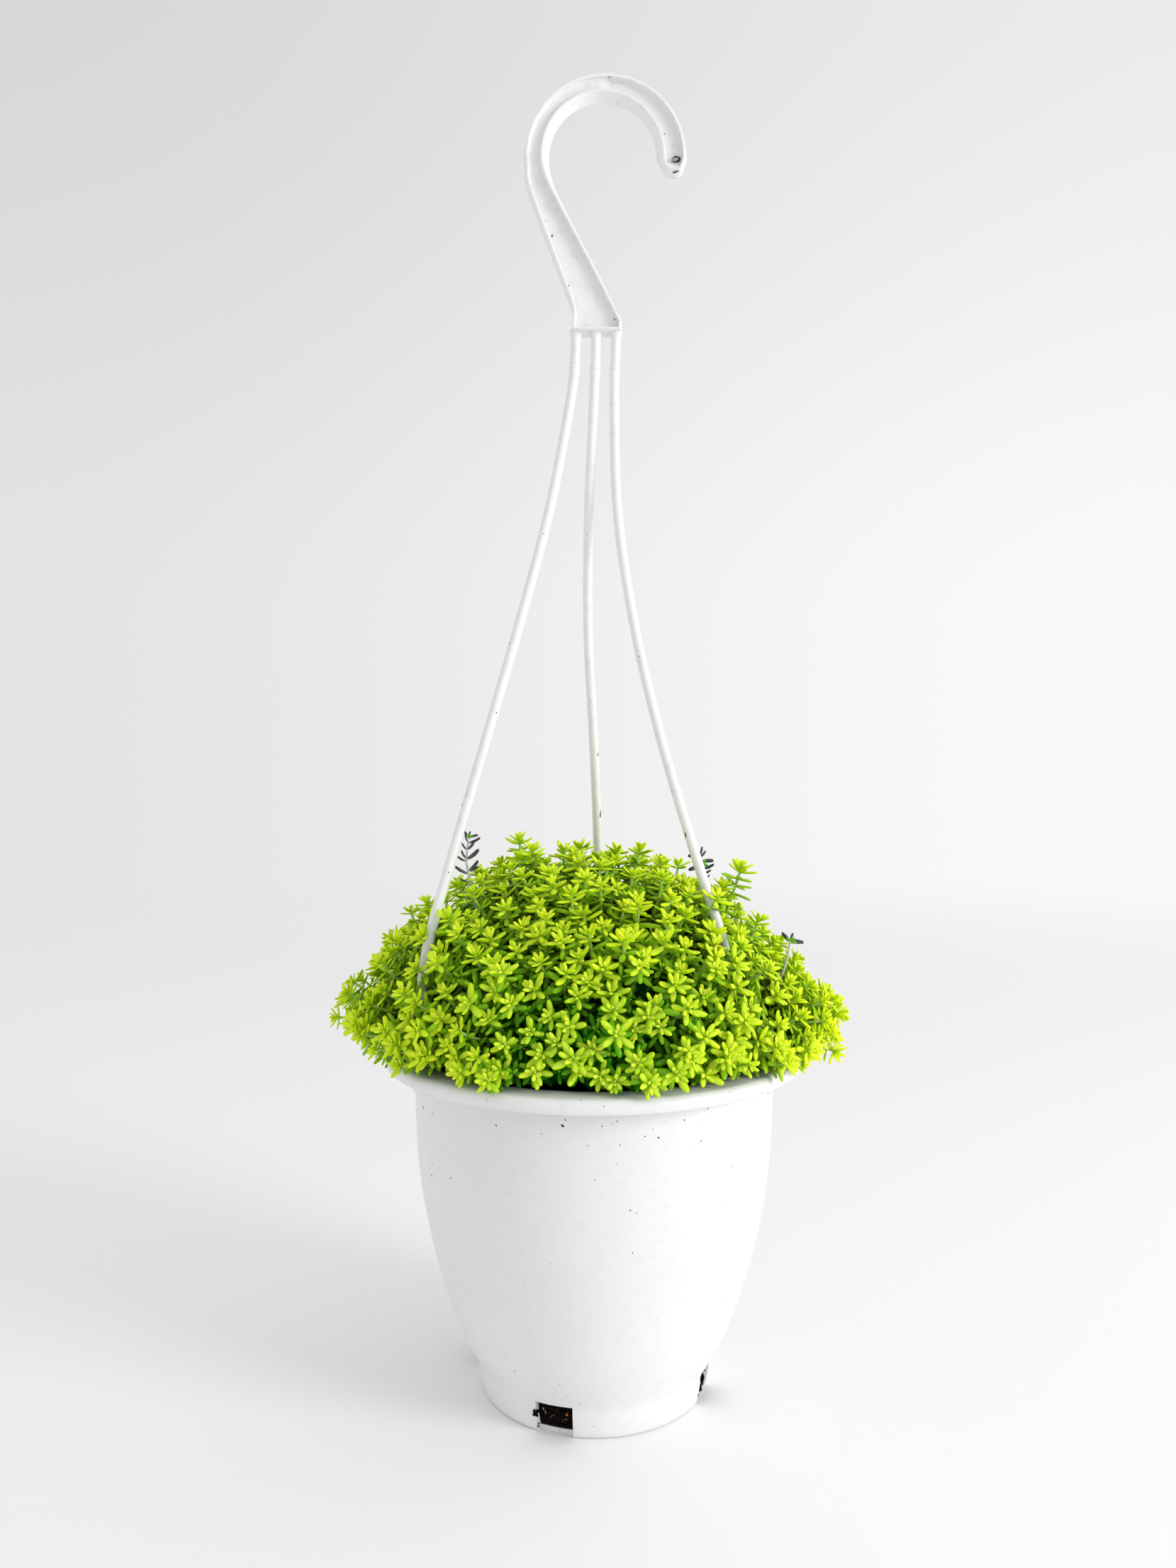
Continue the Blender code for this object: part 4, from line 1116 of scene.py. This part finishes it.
# The underside and the flanks are painted darker and greener as shade, and the middle of the upper face gets
# a light yellow stripe: partly the leaf's waxen midrib, partly a painted highlight.
face_shade = add_node(tree, "ValToRGB", {"stops": UNDER_TO_UPPER_SHADE, "Fac": parts["Green"]})
with_face_shade = add_node(tree, "Mix", {**multiplied, 0: 0.8, 6: body_tone, 7: face_shade})
ridge_and_highlight = add_node(tree, "ValToRGB", {"stops": PALE_RIDGE_AND_HIGHLIGHT, "Fac": parts["Green"]})
ages = {"From Min": 1.15, "From Max": 0.25, "To Min": 0.2}
youth = add_node(tree, "MapRange", {**ages, "Value": parts["Blue"]})
highlight_by_age = add_node(tree, "Math", {"operation": "POWER", 0: youth, 1: 2.5})
wax_and_highlight = add_node(tree, "Math", {"operation": "MULTIPLY", 0: ridge_and_highlight, 1: highlight_by_age})
with_painted_highlight = add_node(tree, "Mix", {"data_type": "RGBA", 0: wax_and_highlight, 6: with_face_shade, 7: linear(WAX_AND_HIGHLIGHT_YELLOW)})
# Brighter leaves are yellower and darker ones greener.
hue = add_node(tree, "MapRange", {"To Min": 0.508, "To Max": 0.493, "Value": facts["Alpha"]})
bright = add_node(tree, "MapRange", {"To Min": 0.9, "To Max": 1.12, "Value": facts["Alpha"]})
tinted = add_node(tree, "HueSaturation", {"Hue": hue, "Value": bright, "Color": with_painted_highlight})
# Painted light: young leaves at both sides and at the top are made lighter and yellower where the most light
# falls.
where = add_node(tree, "SeparateXYZ", {0: place}).outputs
either_side = add_node(tree, "MapRange", {"From Min": -0.12, "From Max": 0.12, "Value": where["X"]})
painted_side_light = add_node(tree, "ValToRGB", {"stops": SIDE_LIGHT_PAINTING, "Fac": either_side})
heights = {"From Min": 0.185, "From Max": 0.23, "To Max": 0.55}
painted_top_light = add_node(tree, "MapRange", {**heights, "Value": where["Z"]})
painted_light = add_node(tree, "Math", {"operation": "MAXIMUM", 0: painted_side_light, 1: painted_top_light})
painted_light_tone = add_node(tree, "ValToRGB", {"stops": PAINTED_LIGHT_TONES, "Fac": either_side})
painted_light_share = add_node(tree, "Math", {"operation": "MULTIPLY", 0: painted_light, 1: youth})
with_painted_light = add_node(tree, "Mix", {"data_type": "RGBA", 0: painted_light_share, 6: tinted, 7: painted_light_tone})
skin = add_node(tree, "TexNoise", {"Scale": 2600.0, "Detail": 2.0, "Vector": place})
pores = add_node(tree, "Bump", {"Strength": 0.25, "Distance": 0.0001, "Height": skin})
set_node(tree, shader, {"Base Color": with_painted_light, "Normal": pores})

streaks = {"Scale": 250.0, "Detail": 3.0}
stem_skin = mottled("pale_stonecrop_stem", {"Roughness": 0.5}, streaks, STEM_TONES)


def leafy_piece(name, leaves, stems, materials, stem_r):
    """One piece from its leaves and stems: the leaves take the first material, the stems the second."""
    thinning = [[stem_r * (0.6 + 0.6 * number / len(line)) for number in range(len(line))] for line in stems]
    bm = tubes(stems, thinning, STEM_SIDES)
    bm.verts.layers.float_color.new("leaf")
    for face in bm.faces:
        face.material_index = 1
    for kind, shade, matrix in leaves:
        leaf = leaf_meshes[kind][shade].copy()
        leaf.transform(Matrix.Scale(MM, 4) @ matrix)
        bm.from_mesh(leaf)
        bpy.data.meshes.remove(leaf)
    return finished(name, bm, materials, 80.0)


draw = random.Random(41)
golden = math.pi * (3.0 - math.sqrt(5.0))
sectors = {"front": ([], []), "right": ([], []), "back": ([], []), "left": ([], []), "top": ([], [])}


def sector_of(tip, level):
    """The lists of leaves and stems of the piece that a shoot's tip belongs to."""
    if level > TOP_LEVEL:
        return sectors["top"]
    heading = math.degrees(math.atan2(tip.x / DOME_AXES[0], -tip.y / DOME_AXES[1]))
    return sectors[("front", "right", "back", "left")[int(((heading + 45.0) % 360.0) // 90.0)]]


def plant_at(way, proud, whorls):
    """Grows a shoot at a direction from the dome's middle, standing proud of its surface by so much."""
    surface, normal = dome_point(way)
    axis = (normal + Vector((0.0, 0.0, LIGHT_PULL))).normalized()
    axis = (axis + Vector([draw.uniform(-LEAN_JITTER, LEAN_JITTER) for _ in range(3)])).normalized()
    tip = surface + normal * proud
    lowest_z = LIP_TOP + 6.0 + OVERHANG_RISE * max(0.0, tip.xy.length - OVERHANG_R)
    tip.z = max(tip.z, lowest_z)
    root = DOME_AT + (tip - DOME_AT) * CORE_SHARE
    root.z = max(root.z, LIP_TOP + 2.0 if root.xy.length > 80.0 else SOIL_TOP)
    size = draw.uniform(*SIZE_SPREAD)
    if blocked(tip, 1.5):
        tip += normal * 4.0
    if not blocked(tip, 1.0):
        grow_shoot(draw, tip, axis, root, size, whorls, *sector_of(tip, way.z))


for count, lowest, highest, whorls, shift in LAYERS:
    due = 0.0
    for index in range(count):
        level = 1.0 - (1.0 - DOME_LOW) * (index + 0.5) / count + draw.uniform(-LEVEL_JITTER, LEVEL_JITTER)
        level = min(1.0, level)
        angle = (index + shift) * golden + draw.uniform(-ANGLE_JITTER, ANGLE_JITTER)
        flat = math.sqrt(1.0 - level * level)
        way = Vector((flat * math.sin(angle), -flat * math.cos(angle), level))
        # A direction stands for less of the dome's surface where the dome is narrow, so some are passed over.
        crowding = math.sqrt(sum((d / axis) ** 2 for d, axis in zip(way, DOME_AXES))) * DOME_AXES[2]
        due += crowding
        if due >= 1.0:
            due -= 1.0
            habit = LEGGY if whorls is SUNLIT and draw.random() < LEGGY_SHARE else whorls
            plant_at(way, draw.uniform(lowest, highest), habit)
# One more row all round leans out over the lip.
for index in range(RIM_SHOOTS):
    angle = math.tau * (index + draw.uniform(-RIM_STRAYING, RIM_STRAYING)) / RIM_SHOOTS
    level = draw.uniform(*RIM_LEVELS)
    flat = math.sqrt(1.0 - level * level)
    whorls, proud = (SUNLIT, draw.uniform(-5.0, 1.0)) if index % 2 else (SHELTERED, draw.uniform(-12.0, -6.0))
    plant_at(Vector((flat * math.sin(angle), -flat * math.cos(angle), level)), proud, whorls)
# Shoots that stand out of the dome, each with its tip, the way it points, its root, size and whorls.
LONE_SHOOTS = [
    ((-36.5, 4, 263), (-0.1, 0, 1), (-30, 6, 235), 0.9, STANDING),
    ((-29, -6, 258.5), (0.1, -0.2, 1), (-26, 0, 235), 0.9, STANDING),
    ((69, -20, 251.5), (0.3, -0.1, 1), (56, -14, 212), 0.95, STANDING),
    ((60, -22, 243), (0, -0.1, 1), (52, -16, 212), 0.85, STANDING),
    ((77, -22, 227), (0.4, -0.1, 1), (64, -16, 200), 0.85, STANDING),
    ((-45.5, 3, 251), (-0.5, 0, 1), (-34, 4, 230), 0.9, STANDING),
    ((93, -52, 168.5), (0.8, -0.5, -0.2), (76, -42, 178), 0.9, SUNLIT),
    ((14, 88, 178), (0.1, 0.8, 0.4), (12, 62, 178), 0.9, SUNLIT),
    ((16.5, -84, 190), (0.15, -0.9, 0.4), (12, -60, 190), 0.95, SUNLIT),
    ((-3, -77, 208), (0, -0.8, 0.6), (-2, -54, 204), 0.9, SUNLIT),
    ((-124, -8, 178), (-0.9, -0.3, 0.1), (-100, -6, 180), 0.95, SUNLIT),
    ((-85, -62, 169), (-0.5, -0.8, 0.2), (-72, -50, 176), 0.9, SUNLIT),
    ((86, -58, 169), (0.5, -0.7, 0.2), (72, -48, 178), 0.9, SUNLIT),
    ((113, -22, 171), (0.8, -0.4, 0), (92, -18, 182), 0.9, SUNLIT),
    ((111, -34, 167.5), (0.6, -0.6, -0.2), (88, -26, 180), 0.85, SUNLIT),
]
for tip, way, root, size, whorls in LONE_SHOOTS:
    tip = Vector(tip)
    grow_shoot(draw, tip, Vector(way).normalized(), Vector(root), size, whorls, *sector_of(tip, 0.0))
for name, (leaves, stems) in sectors.items():
    piece = leafy_piece("sedum_" + name, leaves, stems, [leaf_flesh, stem_skin], STEM_R)
    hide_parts("sedum_cushion")
    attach(piece, "root")

# Heart of the cushion: the dense tangle of stems and shaded leaves that closes the view between shoots.
# It is one lumpy body whose deep green is painted shade, cut flat just above the pot's lip.
HEART_AXES = (86.0, 74.0, 64.0)
HEART_AT_Z = 167.0
HEART_BOTTOM = LIP_TOP + 0.6
LUMP_SHARE = 0.0625
LUMPS_ACROSS = 7.0
HEART_SHADE_TONES = [(0.35, "#082600"), (0.55, "#184E00"), (0.75, "#2C7800")]
heart_finish = mottled(
    "shaded_stems_and_leaves",
    {"Roughness": 0.7, "Specular IOR Level": 0.15},
    {"Scale": 130.0, "Detail": 4.0},
    HEART_SHADE_TONES,
    {"Strength": 1.0, "Distance": 0.002},
)
bm = bmesh.new()
bmesh.ops.create_icosphere(bm, subdivisions=5, radius=1.0)
for vert in bm.verts:
    vert.co *= 1.0 + LUMP_SHARE * noise.noise(vert.co * LUMPS_ACROSS)
bmesh.ops.scale(bm, vec=Vector(HEART_AXES) * MM, verts=bm.verts)
bmesh.ops.translate(bm, vec=(0.0, 0.0, HEART_AT_Z * MM), verts=bm.verts)
foot = {"plane_co": (0.0, 0.0, HEART_BOTTOM * MM), "plane_no": (0.0, 0.0, -1.0)}
cut = bmesh.ops.bisect_plane(bm, geom=[*bm.verts, *bm.edges, *bm.faces], clear_outer=True, **foot)
rim = [edge for edge in cut["geom_cut"] if isinstance(edge, bmesh.types.BMEdge)]
bmesh.ops.contextual_create(bm, geom=rim)
heart = finished("sedum_heart", bm, [heart_finish])
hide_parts("sedum_cushion")
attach(heart, "root")

# Dark sprigs: a thin shoot of charcoal leaves on a pale grey stem behind each front arm, and a small one at
# the right whose leaves are grey only at their tips. The youngest leaves are still green at the base.
# Each sprig: the node it belongs to, its stem's points from the tip down, and its leaves. Each leaf: the
# height of its base, +1 to the right or -1 to the left, its rise, its length and its kind.
DARK_SPRIGS = {
    "left": (
        "dark_shoot_left",
        [
            (-58.5, -22, 265.6),
            (-59.2, -22, 259.7),
            (-59.5, -22, 254.5),
            (-58.6, -21.5, 248.5),
            (-48, -17, 198),
        ],
        [
            (265.4, 1, 80, 3, "star"),
            (265, -1, 61, 4.2, "star"),
            (265.2, 1, 24, 4.6, "star"),
            (264.8, 1, 50, 2.6, "young"),
            (263, -1, 57, 4, "shaded"),
            (262.8, 1, 9, 6.4, "shaded"),
            (259.6, 1, 32, 5.5, "shaded"),
            (259.4, -1, 40, 4.2, "shaded"),
            (255.2, 1, 22, 8.2, "shaded"),
            (255.3, -1, 45, 4.7, "shaded"),
            (254.3, -1, 10, 5, "shaded"),
            (249.8, 1, 30, 7, "shaded"),
            (249.6, 1, 12, 5.2, "shaded"),
            (248.4, -1, 15, 7.3, "shaded"),
            (244.6, -1, 2, 4.6, "shaded"),
        ],
    ),
    "right": (
        "dark_shoot_right",
        [(49.6, -12, 256), (50.2, -12, 252), (51, -12, 247), (50, -11, 240), (43, -9, 202)],
        [
            (255.4, 1, 59, 5.2, "shaded"),
            (254.8, 1, 33, 4.8, "shaded"),
            (254.2, -1, 27, 6.4, "star"),
            (253, 1, 13, 6.8, "star"),
            (252.4, 1, -8, 4, "young"),
            (250.8, -1, -4, 6.6, "star"),
            (249.6, 1, 8, 7, "shaded"),
            (247.4, 1, 4, 5.2, "shaded"),
            (244, 1, 20, 5, "shaded"),
            (241, 1, 12, 5, "shaded"),
        ],
    ),
    "small": (
        "sedum_cushion",
        [(91.2, -24, 217.2), (90.6, -24, 214), (89.4, -24, 208), (86, -22, 196)],
        [
            (216.8, -1, 35, 5.8, "shaded"),
            (217, -1, 53, 5.4, "star"),
            (217.2, 1, 76, 4, "star"),
            (217.2, 1, 45, 2.8, "young"),
            (217, 1, 12, 4.6, "star"),
            (216.6, 1, 7, 6.6, "star"),
            (216.4, -1, 70, 3, "young"),
        ],
    ),
    "low": (
        "sedum_cushion",
        [(101, -30, 172.2), (96, -30, 169.8), (90.4, -30, 167.2), (84, -27, 168.4)],
        [(168.2, 1, -28, 3.6, "shaded"), (171.4, 1, -75, 3.4, "shaded")],
    ),
}
GREYING = [(0.0, "#8C8E8A"), (0.35, "#505254"), (1.0, "#26272A")]
YOUNG_GREEN = "#6DB414"
charcoal, tree, shader, place = new_surface("charcoal_leaf", {"Roughness": 0.5})
facts = add_node(tree, "Attribute", {"attribute_name": "leaf"}).outputs
parts = add_node(tree, "SeparateColor", {0: facts["Color"]}).outputs
greying = add_node(tree, "ValToRGB", {"stops": GREYING, "Fac": parts["Red"]})
ages = {"From Min": 0.5, "From Max": 0.15, "To Max": 0.95}
young = add_node(tree, "MapRange", {**ages, "Value": parts["Blue"]})
still_green = add_node(tree, "Math", {"operation": "GREATER_THAN", 0: young, 1: parts["Red"]})
two_tone = add_node(tree, "Mix", {"data_type": "RGBA", 0: still_green, 6: greying, 7: linear(YOUNG_GREEN)})
set_node(tree, shader, {"Base Color": two_tone})
grey_stem = new_surface("pale_grey_stem", {"Roughness": 0.6, "Base Color": linear("#C4C7C0")})[0]
# The dark leaves are rounder in section than the golden ones, and their tips curve upwards.
CHARCOAL_SHAPE = Matrix.Diagonal((1.0, -0.9, -2.1, 1.0))
DARK_STEM_R = 0.62
DARK_SWING = 28.0
DARK_LEAF_ROOM = 0.7
MIDDLE_TINT = 2
draw = random.Random(7)
for side, (node, knots, rows) in DARK_SPRIGS.items():
    line = smooth_curve(knots, 4)
    leaves = []
    for height, direction, rise, length, kind in rows:
        at = min(line, key=lambda point: abs(point.z - height))
        at = Vector((at.x, at.y, height))
        heading = math.radians(draw.uniform(-DARK_SWING, DARK_SWING)) + (0.0 if direction > 0 else math.pi)
        matrix = leaf_matrix(at, Matrix.Identity(3), heading, math.radians(rise), length) @ CHARCOAL_SHAPE
        if not any(blocked(matrix @ Vector((t, 0.0, 0.0)), DARK_LEAF_ROOM) for t in (0.4, 0.7, 1.0)):
            leaves.append((kind, MIDDLE_TINT, matrix))
    piece = leafy_piece(side + "_dark_sprig", leaves, [line], [charcoal, grey_stem], DARK_STEM_R)
    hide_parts(node)
    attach(piece, "root")

# The single leaves were patterns for the pieces, so they go.
for meshes in leaf_meshes.values():
    for mesh in meshes:
        bpy.data.meshes.remove(mesh)
